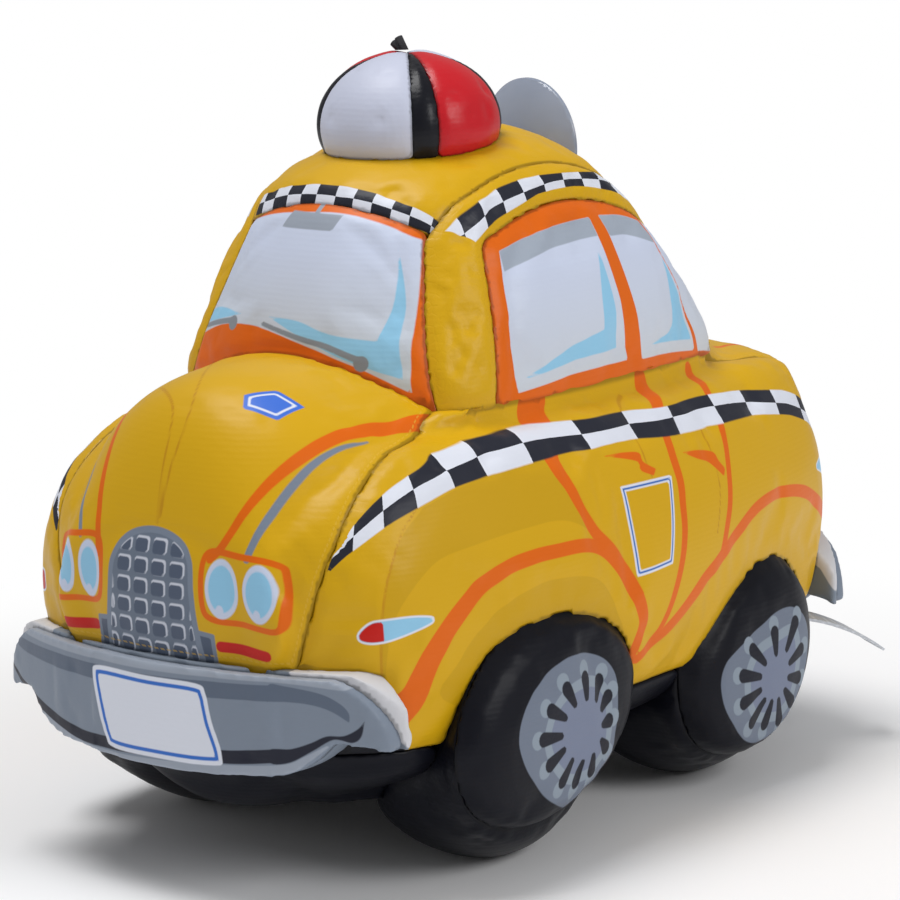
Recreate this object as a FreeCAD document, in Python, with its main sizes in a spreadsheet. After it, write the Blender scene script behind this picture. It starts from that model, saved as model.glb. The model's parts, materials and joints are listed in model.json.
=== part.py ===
# Stuffed toy taxi sewn from printed vinyl
#
# The car faces -Y, its left side is +X and the ground is Z = 0.
# The stuffed body is two lofts that meet at the belt seam. Seam surfaces
# part them into the sewn panels, so neighbouring panels share their faces.
import os

import FreeCAD
import Part
import Sketcher

doc = FreeCAD.newDocument("ToyTaxi")
sizes = doc.addObject("Spreadsheet::Sheet", "Sizes")
values = {}

ALONG_Y = FreeCAD.Rotation(FreeCAD.Vector(1, 0, 0), 90)
ALONG_X = FreeCAD.Rotation(FreeCAD.Vector(1, 1, 1), 120)


def size(name, value, note=""):
    """Put one driving size in the sheet under its own name."""
    row = len(values) + 1
    sizes.set("A%d" % row, name)
    sizes.set("B%d" % row, str(value))
    sizes.set("C%d" % row, note)
    sizes.setAlias("B%d" % row, name)
    values[name] = float(value)
    return name


def bind(obj, **formulas):
    """Bind properties to expressions on the sheet; __ stands for a dot."""
    for prop, formula in formulas.items():
        obj.setExpression(prop.replace("__", "."), formula)
    return obj


def ref(name, sign=""):
    """Give the expression that reads a size from the sheet."""
    return "%sSizes.%s" % (sign, name)


def fix(sketch, kind, picks, formula):
    """Add a dimension to a sketch and bind it to the sheet."""
    index = sketch.addConstraint(Sketcher.Constraint(kind, *picks))
    sketch.setExpression("Constraints[%d]" % index, formula)


def meet(centre_a, reach_a, centre_b, reach_b, side):
    """Find the point at two distances from two centres, on one side."""
    gap = centre_b - centre_a
    span = gap.Length
    along = (reach_a ** 2 - reach_b ** 2 + span ** 2) / (2 * span)
    off = (reach_a ** 2 - along ** 2) ** 0.5
    across = FreeCAD.Vector(gap.y, -gap.x, 0) / span
    return centre_a + gap / span * along + across * off * side


def corner(end, crown, flank, side_crown, radius, way):
    """Blend an end arc into a side arc; gives the centre and both joins."""
    for side in (-1, 1):
        centre = meet(end, abs(crown - radius), flank, side_crown - radius, side)
        lead = (centre - end).normalize() * crown
        end_join = end + lead if crown > radius else end - lead
        side_join = flank + (centre - flank).normalize() * side_crown
        if end_join.x > 0 and side_join.x > 0 and (end_join.y - side_join.y) * way > 0:
            return centre, end_join, side_join
    raise RuntimeError("no blend of radius %s" % radius)


def arc(centre, start, end):
    """Make the anticlockwise arc between two points round a centre."""
    circle = Part.Circle(centre, FreeCAD.Vector(0, 0, 1), (start - centre).Length)
    return Part.ArcOfCircle(circle, circle.parameter(start), circle.parameter(end))


# Plan sections of the body, each a ring of eight tangent arcs
def ring(name, level, front, rear, half, front_crown, front_corner, rear_crown, rear_corner, side_crown):
    """Sketch one level of the body as seen from above."""
    key = name.lower()
    size(key + "_level", level, "height of the section")
    size(key + "_front", front, "reach ahead of the middle")
    size(key + "_rear", rear, "reach behind the middle")
    size(key + "_half", half, "half of the width")
    size(key + "_front_crown", front_crown, "radius across the front")
    size(key + "_front_corner", front_corner, "radius of the front corners")
    size(key + "_rear_crown", rear_crown, "radius across the rear")
    size(key + "_rear_corner", rear_corner, "radius of the rear corners")
    size(key + "_side_crown", side_crown, "radius along the sides")
    nose = FreeCAD.Vector(0, front_crown - front, 0)
    tail = FreeCAD.Vector(0, rear - rear_crown, 0)
    left = FreeCAD.Vector(half - side_crown, 0, 0)
    right = FreeCAD.Vector(side_crown - half, 0, 0)
    fore, p_nose, p_fore = corner(nose, front_crown, left, side_crown, front_corner, -1)
    aft, p_tail, p_aft = corner(tail, rear_crown, left, side_crown, rear_corner, 1)
    fore_mirror = FreeCAD.Vector(-fore.x, fore.y, 0)
    aft_mirror = FreeCAD.Vector(-aft.x, aft.y, 0)
    q_nose = FreeCAD.Vector(-p_nose.x, p_nose.y, 0)
    q_fore = FreeCAD.Vector(-p_fore.x, p_fore.y, 0)
    q_aft = FreeCAD.Vector(-p_aft.x, p_aft.y, 0)
    q_tail = FreeCAD.Vector(-p_tail.x, p_tail.y, 0)
    sketch = doc.addObject("Sketcher::SketchObject", name)
    sketch.addGeometry(arc(nose, q_nose, p_nose))
    sketch.addGeometry(arc(fore, p_nose, p_fore))
    sketch.addGeometry(arc(left, p_fore, p_aft))
    sketch.addGeometry(arc(aft, p_aft, p_tail))
    sketch.addGeometry(arc(tail, p_tail, q_tail))
    sketch.addGeometry(arc(aft_mirror, q_tail, q_aft))
    sketch.addGeometry(arc(right, q_aft, q_fore))
    sketch.addGeometry(arc(fore_mirror, q_fore, q_nose))
    sketch.addGeometry(Part.Point(FreeCAD.Vector(0, -front, 0)), True)
    sketch.addGeometry(Part.Point(FreeCAD.Vector(0, rear, 0)), True)
    for index in range(8):
        sketch.addConstraint(Sketcher.Constraint("Tangent", index, 2, (index + 1) % 8, 1))
    sketch.addConstraint(Sketcher.Constraint("PointOnObject", 0, 3, -2))
    sketch.addConstraint(Sketcher.Constraint("PointOnObject", 4, 3, -2))
    sketch.addConstraint(Sketcher.Constraint("PointOnObject", 2, 3, -1))
    sketch.addConstraint(Sketcher.Constraint("Symmetric", 2, 3, 6, 3, -2))
    sketch.addConstraint(Sketcher.Constraint("Equal", 2, 6))
    sketch.addConstraint(Sketcher.Constraint("Equal", 1, 7))
    sketch.addConstraint(Sketcher.Constraint("Equal", 3, 5))
    sketch.addConstraint(Sketcher.Constraint("PointOnObject", 8, 1, -2))
    sketch.addConstraint(Sketcher.Constraint("PointOnObject", 8, 1, 0))
    sketch.addConstraint(Sketcher.Constraint("PointOnObject", 9, 1, -2))
    sketch.addConstraint(Sketcher.Constraint("PointOnObject", 9, 1, 4))
    fix(sketch, "Radius", (0, front_crown), ref(key + "_front_crown"))
    fix(sketch, "Radius", (4, rear_crown), ref(key + "_rear_crown"))
    fix(sketch, "Radius", (2, side_crown), ref(key + "_side_crown"))
    fix(sketch, "Radius", (1, front_corner), ref(key + "_front_corner"))
    fix(sketch, "Radius", (3, rear_corner), ref(key + "_rear_corner"))
    fix(sketch, "DistanceY", (8, 1, -1, 1, front), ref(key + "_front"))
    fix(sketch, "DistanceY", (-1, 1, 9, 1, rear), ref(key + "_rear"))
    reach = "%s - %s" % (ref(key + "_side_crown"), ref(key + "_half"))
    fix(sketch, "DistanceX", (2, 3, -1, 1, side_crown - half), reach)
    bind(sketch, Placement__Base__z=ref(key + "_level"))
    return sketch


def loft(name, sections):
    """Skin a solid through closed sections."""
    obj = doc.addObject("Part::Loft", name)
    obj.Sections = sections
    obj.Solid = True
    obj.Ruled = False
    return obj


def outline(name, rotation, steps):
    """Sketch a closed outline of lines and three-point arcs.

    Each step is (x, y) for a line to that corner, or (x, y, mx, my) for an
    arc to it through a middle point. Corners are held to sheet sizes.
    """
    key = name.lower()
    sketch = doc.addObject("Sketcher::SketchObject", name)
    sketch.Placement = FreeCAD.Placement(FreeCAD.Vector(0, 0, 0), rotation)
    corners = [FreeCAD.Vector(s[0], s[1], 0) for s in steps]
    ends = []
    for index, step in enumerate(steps):
        start = corners[index - 1]
        end = corners[index]
        if len(step) == 2:
            sketch.addGeometry(Part.LineSegment(start, end))
            ends.append((1, 2))
            continue
        sketch.addGeometry(Part.ArcOfCircle(start, FreeCAD.Vector(step[2], step[3], 0), end))
        flipped = (sketch.getPoint(index, 1) - start).Length > 0.001
        ends.append((2, 1) if flipped else (1, 2))
    count = len(steps)
    for index in range(count):
        follow = (index + 1) % count
        picks = (index, ends[index][1], follow, ends[follow][0])
        sketch.addConstraint(Sketcher.Constraint("Coincident", *picks))
    for index, corner in enumerate(corners):
        pick = (index, ends[index][1])
        for axis, kind, near in ((corner.x, "DistanceX", "_across_"), (corner.y, "DistanceY", "_up_")):
            if abs(axis) < 0.001:
                line = -2 if kind == "DistanceX" else -1
                sketch.addConstraint(Sketcher.Constraint("PointOnObject", pick[0], pick[1], line))
                continue
            alias = size(key + near + "abcdefghijklmnop"[index], abs(axis), "corner of the outline")
            picks = (-1, 1) + pick if axis > 0 else pick + (-1, 1)
            fix(sketch, kind, picks + (abs(axis),), ref(alias))
    for index, step in enumerate(steps):
        if len(step) == 2:
            continue
        radius = sketch.Geometry[index].Radius
        alias = size(key + "_bow_" + "abcdefghijklmnop"[index], round(radius, 4), "radius of the outline")
        fix(sketch, "Radius", (index, radius), ref(alias))
    return sketch


def extrude(name, sketch, reach, back, direction):
    """Extrude an outline both ways."""
    obj = doc.addObject("Part::Extrusion", name)
    obj.Base = sketch
    obj.DirMode = "Custom"
    obj.Dir = direction
    obj.LengthFwd = reach
    obj.LengthRev = back
    obj.Solid = True
    return obj


def block(name, x0, x1, y0, y1, z0, z1):
    """Make a box between two corners."""
    obj = doc.addObject("Part::Box", name)
    obj.Length = x1 - x0
    obj.Width = y1 - y0
    obj.Height = z1 - z0
    obj.Placement.Base = FreeCAD.Vector(x0, y0, z0)
    return obj


def common(name, *shapes):
    """Keep what all the shapes share."""
    obj = doc.addObject("Part::MultiCommon", name)
    obj.Shapes = list(shapes)
    return obj


def cut(name, base, tool):
    """Take a tool away from a base."""
    obj = doc.addObject("Part::Cut", name)
    obj.Base = base
    obj.Tool = tool
    return obj


def join(name, *shapes):
    """Fuse shapes into one."""
    obj = doc.addObject("Part::MultiFuse", name)
    obj.Shapes = list(shapes)
    return obj


def oval(name, across, middle, level, half_length, half_height, turn):
    """Sketch one upright oval section, turned into its own plane."""
    key = name.lower()
    size(key + "_across", across, "distance of the section from the middle")
    size(key + "_middle", abs(middle), "distance of the section along the car")
    size(key + "_level", level, "height of the middle of the section")
    size(key + "_half_length", half_length, "half of the length")
    size(key + "_half_height", half_height, "half of the height")
    sketch = doc.addObject("Sketcher::SketchObject", name)
    sketch.Placement = FreeCAD.Placement(FreeCAD.Vector(across, middle, level), turn)
    long_end = FreeCAD.Vector(half_length, 0, 0)
    high_end = FreeCAD.Vector(0, half_height, 0)
    sketch.addGeometry(ellipse(half_length, half_height))
    sketch.addGeometry(Part.Point(long_end), True)
    sketch.addGeometry(Part.Point(high_end), True)
    sketch.addConstraint(Sketcher.Constraint("Coincident", 0, 3, -1, 1))
    for point, axis in ((1, -1), (2, -2)):
        sketch.addConstraint(Sketcher.Constraint("PointOnObject", point, 1, axis))
        sketch.addConstraint(Sketcher.Constraint("PointOnObject", point, 1, 0))
    fix(sketch, "DistanceX", (-1, 1, 1, 1, half_length), ref(key + "_half_length"))
    fix(sketch, "DistanceY", (-1, 1, 2, 1, half_height), ref(key + "_half_height"))
    bind(sketch, Placement__Base__x=ref(key + "_across"), Placement__Base__z=ref(key + "_level"))
    bind(sketch, Placement__Base__y=ref(key + "_middle", "-" if middle < 0 else ""))
    return sketch


def ellipse(half_length, half_height):
    """Make an ellipse round the origin, whichever way it is longer."""
    centre = FreeCAD.Vector(0, 0, 0)
    long_end = FreeCAD.Vector(half_length, 0, 0)
    high_end = FreeCAD.Vector(0, half_height, 0)
    if half_length > half_height:
        return Part.Ellipse(long_end, high_end, centre)
    return Part.Ellipse(high_end, long_end * -1, centre)


def arch(name, middle, half_width, rise):
    """Sketch one section across the crown of the hood or the trunk."""
    return oval(name, 0, middle, 88, half_width, rise, ALONG_Y)


def lobe(name, across, middle, level, half_length, half_height, lean):
    """Sketch one section of a wheel, its top leaning back."""
    turn = ALONG_X.multiply(FreeCAD.Rotation(FreeCAD.Vector(0, 0, 1), lean))
    return oval(name, across, middle, level, half_length, half_height, turn)


# Lower body, from the belly up to the belt, with a crowned hood and trunk
shell = loft("Shell", [
    ring("Low1", 22, 84, 80, 36, 130, 28, 130, 28, 500),
    ring("Low2", 27, 110, 104, 54, 130, 34, 130, 34, 500),
    ring("Low3", 37, 130, 124, 73, 130, 36, 130, 36, 500),
    ring("Low4", 52, 141, 136, 83.5, 130, 33, 130, 36, 500),
    ring("Low5", 76, 144, 141, 86.5, 130, 33, 130, 34, 500),
    ring("Low6", 96, 144, 142, 85, 130, 34, 130, 34, 500),
    ring("Low7", 111, 141.5, 139, 81, 120, 33, 130, 32, 500),
    ring("Low8", 123, 133, 136, 77, 112, 30, 130, 32, 500),
    ring("Low9", 134, 115, 119.5, 71, 100, 26, 125, 32, 450),
    ring("Low10", 142, 91, 96, 65, 90, 22, 120, 30, 400),
])
hood_crown = loft("HoodCrown", [
    arch("Hood1", -141, 45, 27),
    arch("Hood2", -137.5, 45, 41),
    arch("Hood3", -132, 47.5, 53),
    arch("Hood4", -124, 52.5, 62),
    arch("Hood5", -115, 57, 66),
    arch("Hood6", -100, 64, 68),
    arch("Hood7", -60, 78.5, 70.5),
])
trunk_crown = loft("TrunkCrown", [
    arch("Trunk1", 139, 40, 26),
    arch("Trunk2", 135, 46, 34),
    arch("Trunk3", 127, 54, 42),
    arch("Trunk4", 115, 62, 50),
    arch("Trunk5", 99, 68, 58.5),
    arch("Trunk6", 80, 72, 69),
    arch("Trunk7", 57, 76, 74),
])
lower = join("LowerBody", shell, hood_crown, trunk_crown)

# Cabin, from the belt up, closed by a domed roof
cabin_loft = loft("CabinLoft", [
    ring("Cab1", 140, 87, 94, 63, 88, 20, 110, 27, 400),
    ring("Cab2", 161, 82, 82, 60, 80, 18, 100, 25, 350),
    ring("Cab3", 181, 73.5, 67, 54, 66, 16, 90, 23, 300),
    ring("Cab4", 196, 66, 54, 48, 56, 15, 80, 22, 260),
    ring("Cab5", 209, 57, 38, 41, 50, 14, 70, 22, 220),
    ring("Cab6", 224, 46, 22, 33, 44, 12, 60, 18, 200),
])
size("dome_height", 110, "upright radius of the roof dome")
size("dome_half_width", 90, "radius of the roof dome across")
size("dome_half_length", 108, "radius of the roof dome along")
size("dome_crown", 221.5, "height of the roof")
size("dome_middle", 4, "crown of the roof ahead of the middle")
dome = doc.addObject("Part::Ellipsoid", "RoofDome")
bind(dome, Radius1=ref("dome_height"), Radius2=ref("dome_half_width"), Radius3=ref("dome_half_length"))
bind(dome, Placement__Base__y=ref("dome_middle", "-"))
bind(dome, Placement__Base__z="Sizes.dome_crown - Sizes.dome_height")
cabin = common("Cabin", cabin_loft, dome)

# Seam surfaces
size("sill_level", 47, "seam between the body and the belly")
size("deck_level", 163, "height above every part of the body")
strip_sketch = outline("StripOutline", ALONG_Y, [
    (37, 47), (55, 111, 48, 82), (49.5, 143, 54, 129), (35.5, 191), (39.5, 205), (39.5, 230),
    (-39.5, 230), (-39.5, 205), (-35.5, 191), (-49.5, 143), (-55, 111, -54, 129), (-37, 47, -48, 82),
])
strip = extrude("Strip", strip_sketch, 200, 200, FreeCAD.Vector(0, 1, 0))
flank_sketch = outline("FlankOutline", ALONG_Y, [
    (120, 47), (120, 163), (43.6667, 163), (49.5, 143), (55, 111, 54, 129), (37, 47, 48, 82),
])
flank = extrude("Flank", flank_sketch, 200, 200, FreeCAD.Vector(0, 1, 0))
front_glass_sketch = outline("FrontGlassOutline", ALONG_X, [
    (-4, 136), (-120, 266), (-120, 136),
])
front_glass = extrude("FrontGlassRegion", front_glass_sketch, 100, 100, FreeCAD.Vector(1, 0, 0))
rear_glass_sketch = outline("RearGlassOutline", ALONG_X, [
    (4, 136), (120, 136), (120, 266),
])
rear_glass = extrude("RearGlassRegion", rear_glass_sketch, 100, 100, FreeCAD.Vector(1, 0, 0))
side_glass_sketch = outline("SideGlassOutline", ALONG_X, [
    (-52.6, 136), (-52.6, 142), (-44, 184), (-36, 191.5, -41.6, 189.3), (47, 186.5, 5, 198), (75, 142, 65, 166), (75, 136),
])
side_glass = extrude("SideGlassRegion", side_glass_sketch, 100, 0, FreeCAD.Vector(1, 0, 0))


def region(name, x0, x1, y0, y1, bottom, top):
    """Make a box between two seam levels."""
    obj = block(name, x0, x1, y0, y1, values[bottom], values[top])
    bind(obj, Placement__Base__z=ref(bottom), Height="%s - %s" % (ref(top), ref(bottom)))
    return obj


front_body = region("FrontRegion", -120, 120, -180, 0, "sill_level", "deck_level")
rear_body = region("RearRegion", -120, 120, 0, 180, "sill_level", "deck_level")
left_cabin = block("LeftCabinRegion", 0, 120, -180, 180, 136, 240)
under_body = block("UnderRegion", -120, 120, -180, 180, -10, 47)
bind(under_body, Height="Sizes.sill_level + 10")


# Wheels: a sewn-on lobe each, a tread and a printed face
front_edge = lobe("FrontWheel5", 79, -59.5, 49, 45.5, 33.3, 16)
front_tread = loft("FrontTread", [
    lobe("FrontWheel1", 34, -53, 31, 35, 26, 8),
    lobe("FrontWheel2", 44, -53, 34, 40, 32, 8),
    lobe("FrontWheel3", 57, -53.5, 38.5, 43, 38.2, 8),
    lobe("FrontWheel4", 69, -55, 42.5, 44.5, 38.7, 12),
    front_edge,
])
front_face = loft("FrontFace", [
    front_edge,
    lobe("FrontWheel6", 84.5, -58.5, 48, 41, 28.5, 16),
    lobe("FrontWheel7", 88.5, -57, 46, 30, 21, 16),
])
rear_edge = lobe("RearWheel5", 79, 53, 44, 39, 32, 26)
rear_tread = loft("RearTread", [
    lobe("RearWheel1", 34, 60, 30, 34, 20, 8),
    lobe("RearWheel2", 44, 60, 31.5, 42, 27.5, 8),
    lobe("RearWheel3", 57, 61, 36.2, 45.5, 36, 8),
    lobe("RearWheel4", 69, 59, 40.5, 44.5, 35.5, 16),
    rear_edge,
])
rear_face = loft("RearFace", [
    rear_edge,
    lobe("RearWheel6", 84.5, 53, 42, 34, 27.5, 26),
    lobe("RearWheel7", 88.5, 53, 38.5, 25, 21, 26),
])
front_wheel = join("FrontWheel", front_tread, front_face)
rear_wheel = join("RearWheel", rear_tread, rear_face)
left_wheels = join("LeftWheels", front_wheel, rear_wheel)


def mirror(name, source):
    """Mirror a left piece to the right side."""
    obj = doc.addObject("Part::Mirroring", name)
    obj.Source = source
    obj.Normal = FreeCAD.Vector(1, 0, 0)
    obj.Base = FreeCAD.Vector(0, 0, 0)
    return obj


right_wheels = mirror("RightWheels", left_wheels)
wheels = join("Wheels", left_wheels, right_wheels)

# Bumpers: a padded band round each end, a face on a wider back
size("bumper_bottom", 36, "underside of the bumper rings")
size("bumper_height", 46, "height of the bumper rings")


def band(name, front, rear, half, rear_corner):
    """Extrude a bumper ring seen from above."""
    sketch = ring(name + "Ring", 36, front, rear, half, 165, 24, 150, rear_corner, 500)
    bind(sketch, Placement__Base__z=ref("bumper_bottom"))
    obj = doc.addObject("Part::Extrusion", name)
    obj.Base = sketch
    obj.DirMode = "Custom"
    obj.Dir = FreeCAD.Vector(0, 0, 1)
    obj.Solid = True
    bind(obj, LengthFwd=ref("bumper_height"))
    return obj


outer_band = band("OuterBand", 149.5, 146.5, 98, 46)
inner_band = band("InnerBand", 146, 143, 94.5, 42.5)
back_sketch = outline("BackOutline", ALONG_Y, [
    (63, 74.6, 75.5, 66), (-63, 74.6), (-80.5, 49.5, -75.5, 66), (-60, 54, -70, 54),
    (-45, 43.5, -53.5, 47.5), (45, 43.5, 0, 41), (60, 54, 53.5, 47.5), (80.5, 49.5, 70, 54),
])
face_sketch = outline("FaceOutline", ALONG_Y, [
    (60, 73.4, 72, 65), (-60, 73.4), (-76.5, 51.5, -72, 65), (-60, 54, -69, 53.6),
    (-45, 43.5, -53.5, 47.5), (45, 43.5, 0, 41), (60, 54, 53.5, 47.5), (76.5, 51.5, 69, 53.6),
])
face_skin = cut("FaceSkin", outer_band, inner_band)
body_pieces = join("BodyPieces", lower, wheels)
front_back_region = extrude("FrontBackRegion", back_sketch, 180, -122, FreeCAD.Vector(0, -1, 0))
front_face_region = extrude("FrontFaceRegion", face_sketch, 180, -122, FreeCAD.Vector(0, -1, 0))
rear_back_region = extrude("RearBackRegion", back_sketch, 180, -114, FreeCAD.Vector(0, 1, 0))
rear_face_region = extrude("RearFaceRegion", face_sketch, 180, -114, FreeCAD.Vector(0, 1, 0))
size("rear_bumper_drop", 5, "rear bumper below the level of the front one")
for rear_region in (rear_back_region, rear_face_region):
    bind(rear_region, Placement__Base__z=ref("rear_bumper_drop", "-"))

# Roof lamp: a stuffed dome of eight gores
size("lamp_half_width", 29.5, "radius of the lamp")
size("lamp_half_height", 23.5, "upright radius of the lamp")
size("lamp_middle", 17.5, "lamp ahead of the middle of the car")
size("lamp_level", 222, "height of the widest part of the lamp")
size("wide_gore", 80, "angle of a white gore")
size("side_gore", 66, "angle of a red gore")
size("strip_gore", 17, "angle of a black gore")


def gore(name, start, angle):
    """Make one gore of the lamp from its first edge round."""
    obj = doc.addObject("Part::Ellipsoid", name + "_whole")
    bind(obj, Radius1=ref("lamp_half_height"), Radius2=ref("lamp_half_width"))
    bind(obj, Radius3=ref("lamp_half_width"), Angle3=ref(angle))
    obj.Angle1 = -90
    obj.Angle2 = 90
    turn = FreeCAD.Rotation(FreeCAD.Vector(0, 0, 1), start)
    obj.Placement = FreeCAD.Placement(FreeCAD.Vector(0, 0, 0), turn)
    bind(obj, Placement__Base__y=ref("lamp_middle", "-"), Placement__Base__z=ref("lamp_level"))
    return cut(name, obj, cabin)


# Hanging cord, cut short above the lamp
size("cord_radius", 1.3, "radius of the cord")
size("cord_length", 7, "length of a cut end")
size("cord_foot", 243.3, "height of the knot")
cord_ends = []
for index, lean in enumerate((-52, -30)):
    stub = doc.addObject("Part::Cylinder", "CordEnd%d" % (index + 1))
    bind(stub, Radius=ref("cord_radius"), Height=ref("cord_length"))
    stub.Placement.Rotation = FreeCAD.Rotation(FreeCAD.Vector(0, 1, 0), lean)
    bind(stub, Placement__Base__y=ref("lamp_middle", "-"), Placement__Base__z=ref("cord_foot"))
    cord_ends.append(stub)

# Suction cup behind the roof, with its sewn tab
cup_sketch = outline("CupOutline", ALONG_Y, [
    (23, 0), (23, 1), (5, 7.5, 15, 5.4), (3.5, 9), (5.5, 10.5), (5.5, 14), (0, 14), (0, 4.5),
    (22.1, 0, 13, 3.2),
])
cup = doc.addObject("Part::Revolution", "suction_cup")
cup.Source = cup_sketch
cup.Axis = FreeCAD.Vector(0, 0, 1)
cup.Angle = 360
cup.Solid = True
size("cup_across", 14, "suction cup off the middle")
size("cup_behind", 67, "suction cup behind the middle")
size("cup_level", 206.5, "height of the suction cup")
turn = FreeCAD.Rotation(FreeCAD.Vector(0, 0, 1), -10.7)
cup.Placement.Rotation = turn.multiply(FreeCAD.Rotation(FreeCAD.Vector(1, 0, 0), 90))
bind(cup, Placement__Base__x=ref("cup_across", "-"), Placement__Base__y=ref("cup_behind"))
bind(cup, Placement__Base__z=ref("cup_level"))
tab_bar = block("TabBar", -4, 4, -4, 9, -2, 0)
size("tab_thickness", 2.5, "thickness of the tab")
bind(tab_bar, Height=ref("tab_thickness"))
bind(tab_bar, Placement__Base__x="-Sizes.cup_across - 4")
bind(tab_bar, Placement__Base__y="Sizes.cup_behind - 23")
bind(tab_bar, Placement__Base__z="Sizes.cup_level - 8")

# Care label in the seam below the rear bumper
label_sketch = outline("LabelOutline", ALONG_Y, [
    (-6, -0.8), (27, -14.8, 8, -4.4), (27.6, -14.2), (-6, 0, 8.4, -3.4),
])
label_strip = extrude("LabelStrip", label_sketch, 8, 8, FreeCAD.Vector(0, 1, 0))
label_strip.Placement.Rotation = FreeCAD.Rotation(FreeCAD.Vector(0, 0, 1), 54)
size("label_across", 69.5, "root of the label off the middle")
size("label_behind", 106, "root of the label behind the middle")
size("label_level", 46, "height of the root of the label")
bind(label_strip, Placement__Base__x=ref("label_across"), Placement__Base__y=ref("label_behind"))
bind(label_strip, Placement__Base__z=ref("label_level"))

# Sewn panels and pads
lower_cut = cut("LowerCut", lower, cabin)
body_strip = common("BodyStrip", lower_cut, strip)
lower_strip = cut("LowerStrip", body_strip, wheels)
cabin_strip = common("CabinStrip", cabin, strip)
cabin_flanks = cut("CabinFlanks", cabin, strip)
glass_regions = join("GlassRegions", front_glass, rear_glass)
panels = [
    common("hood_panel", lower_strip, front_body),
    common("trunk_panel", lower_strip, rear_body),
    common("windscreen_panel", cabin_strip, front_glass),
    common("rear_window_panel", cabin_strip, rear_glass),
    cut("roof_panel", cabin_strip, glass_regions),
]
shell_cut = cut("ShellCut", shell, cabin)
left_flank = common("LeftFlank", shell_cut, flank)
front_arch = cut("FrontArch", left_flank, front_wheel)
side_left = cut("side_panel_left", front_arch, rear_wheel)
cabin_left = common("LeftCabinFlank", cabin_flanks, left_cabin)
window_left = common("window_panel_left", cabin_left, side_glass)
cabin_side_left = cut("cabin_side_left", cabin_left, side_glass)
belly_block = common("BellyBlock", lower, under_body)
panels.append(cut("belly_panel", belly_block, wheels))
front_tread.Label = "front_left_tread"
front_face.Label = "front_left_wheel_face"
rear_tread.Label = "rear_left_tread"
rear_face.Label = "rear_left_wheel_face"
left_pieces = [
    (side_left, "side_panel_right"),
    (window_left, "window_panel_right"),
    (cabin_side_left, "cabin_side_right"),
    (front_tread, "front_right_tread"),
    (front_face, "front_right_wheel_face"),
    (rear_tread, "rear_right_tread"),
    (rear_face, "rear_right_wheel_face"),
]
for left, name in left_pieces:
    panels.append(left)
    panels.append(mirror(name, left))
panels.append(common("front_bumper_face", face_skin, front_face_region))
front_pad = common("FrontPad", inner_band, front_back_region)
panels.append(cut("front_bumper_back", front_pad, body_pieces))
panels.append(common("rear_bumper_face", face_skin, rear_face_region))
rear_pad = common("RearPad", inner_band, rear_back_region)
panels.append(cut("rear_bumper_back", rear_pad, body_pieces))
start = -130.0
for name, angle in (
    ("lamp_white_front", "wide_gore"),
    ("lamp_black_front_left", "strip_gore"),
    ("lamp_red_left", "side_gore"),
    ("lamp_black_rear_left", "strip_gore"),
    ("lamp_white_rear", "wide_gore"),
    ("lamp_black_rear_right", "strip_gore"),
    ("lamp_red_right", "side_gore"),
    ("lamp_black_front_right", "strip_gore"),
):
    panels.append(gore(name, start, angle))
    start += values[angle]
lamp_whole = join("LampWhole", *[p.Base for p in panels if p.Name.startswith("lamp_")])
cord = join("CordWhole", *cord_ends)
panels.append(cut("hang_cord", cord, lamp_whole))
panels.append(cup)
cup_and_cabin = join("CupAndCabin", cup, cabin)
panels.append(cut("cup_tab", tab_bar, cup_and_cabin))
panels.append(cut("care_label", label_strip, body_pieces))

doc.recompute()
failed = [obj.Name for obj in doc.Objects if "Invalid" in obj.State or "Error" in obj.State]
if failed:
    raise RuntimeError("did not build: %s" % ", ".join(failed))

# Write every piece as its own solid
os.makedirs("parts", exist_ok=True)
for panel in panels:
    name = panel.Label
    shape = panel.Shape
    if shape.isNull() or not shape.isValid():
        raise RuntimeError("%s has no sound shape" % name)
    print(name, len(shape.Solids), round(shape.Volume / 1000.0, 1))
    shape.exportStep("parts/%s.step" % name)
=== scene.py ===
"""Stuffed toy taxi of printed vinyl, sewn from padded panels."""
import json
import logging
import math
from dataclasses import dataclass, field
from enum import Enum

import bmesh
import bpy
import numpy as np
from mathutils import Matrix, Vector, noise
from mathutils.bvhtree import BVHTree
from mathutils.kdtree import KDTree


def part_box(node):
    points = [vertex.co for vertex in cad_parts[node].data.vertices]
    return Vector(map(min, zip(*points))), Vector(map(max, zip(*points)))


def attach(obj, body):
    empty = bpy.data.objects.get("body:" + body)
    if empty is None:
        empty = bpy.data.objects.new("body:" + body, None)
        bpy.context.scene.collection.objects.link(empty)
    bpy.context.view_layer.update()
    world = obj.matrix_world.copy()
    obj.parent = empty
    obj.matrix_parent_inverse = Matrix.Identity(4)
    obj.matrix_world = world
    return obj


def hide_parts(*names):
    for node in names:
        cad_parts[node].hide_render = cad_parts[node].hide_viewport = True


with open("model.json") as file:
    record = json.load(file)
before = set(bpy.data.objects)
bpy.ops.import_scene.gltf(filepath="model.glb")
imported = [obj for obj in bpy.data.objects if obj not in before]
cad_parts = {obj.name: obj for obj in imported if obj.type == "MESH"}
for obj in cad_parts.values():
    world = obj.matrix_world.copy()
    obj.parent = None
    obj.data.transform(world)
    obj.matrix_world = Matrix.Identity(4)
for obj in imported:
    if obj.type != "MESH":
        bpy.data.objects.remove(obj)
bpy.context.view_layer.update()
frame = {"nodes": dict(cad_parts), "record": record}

FAR = 8.0
log = logging.getLogger("toy_taxi")

Colour = tuple[float, float, float]
Pair = tuple[float, float]
Points = tuple[Pair, ...]
SocketInput = float | tuple[float, ...] | bpy.types.NodeSocket

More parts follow.
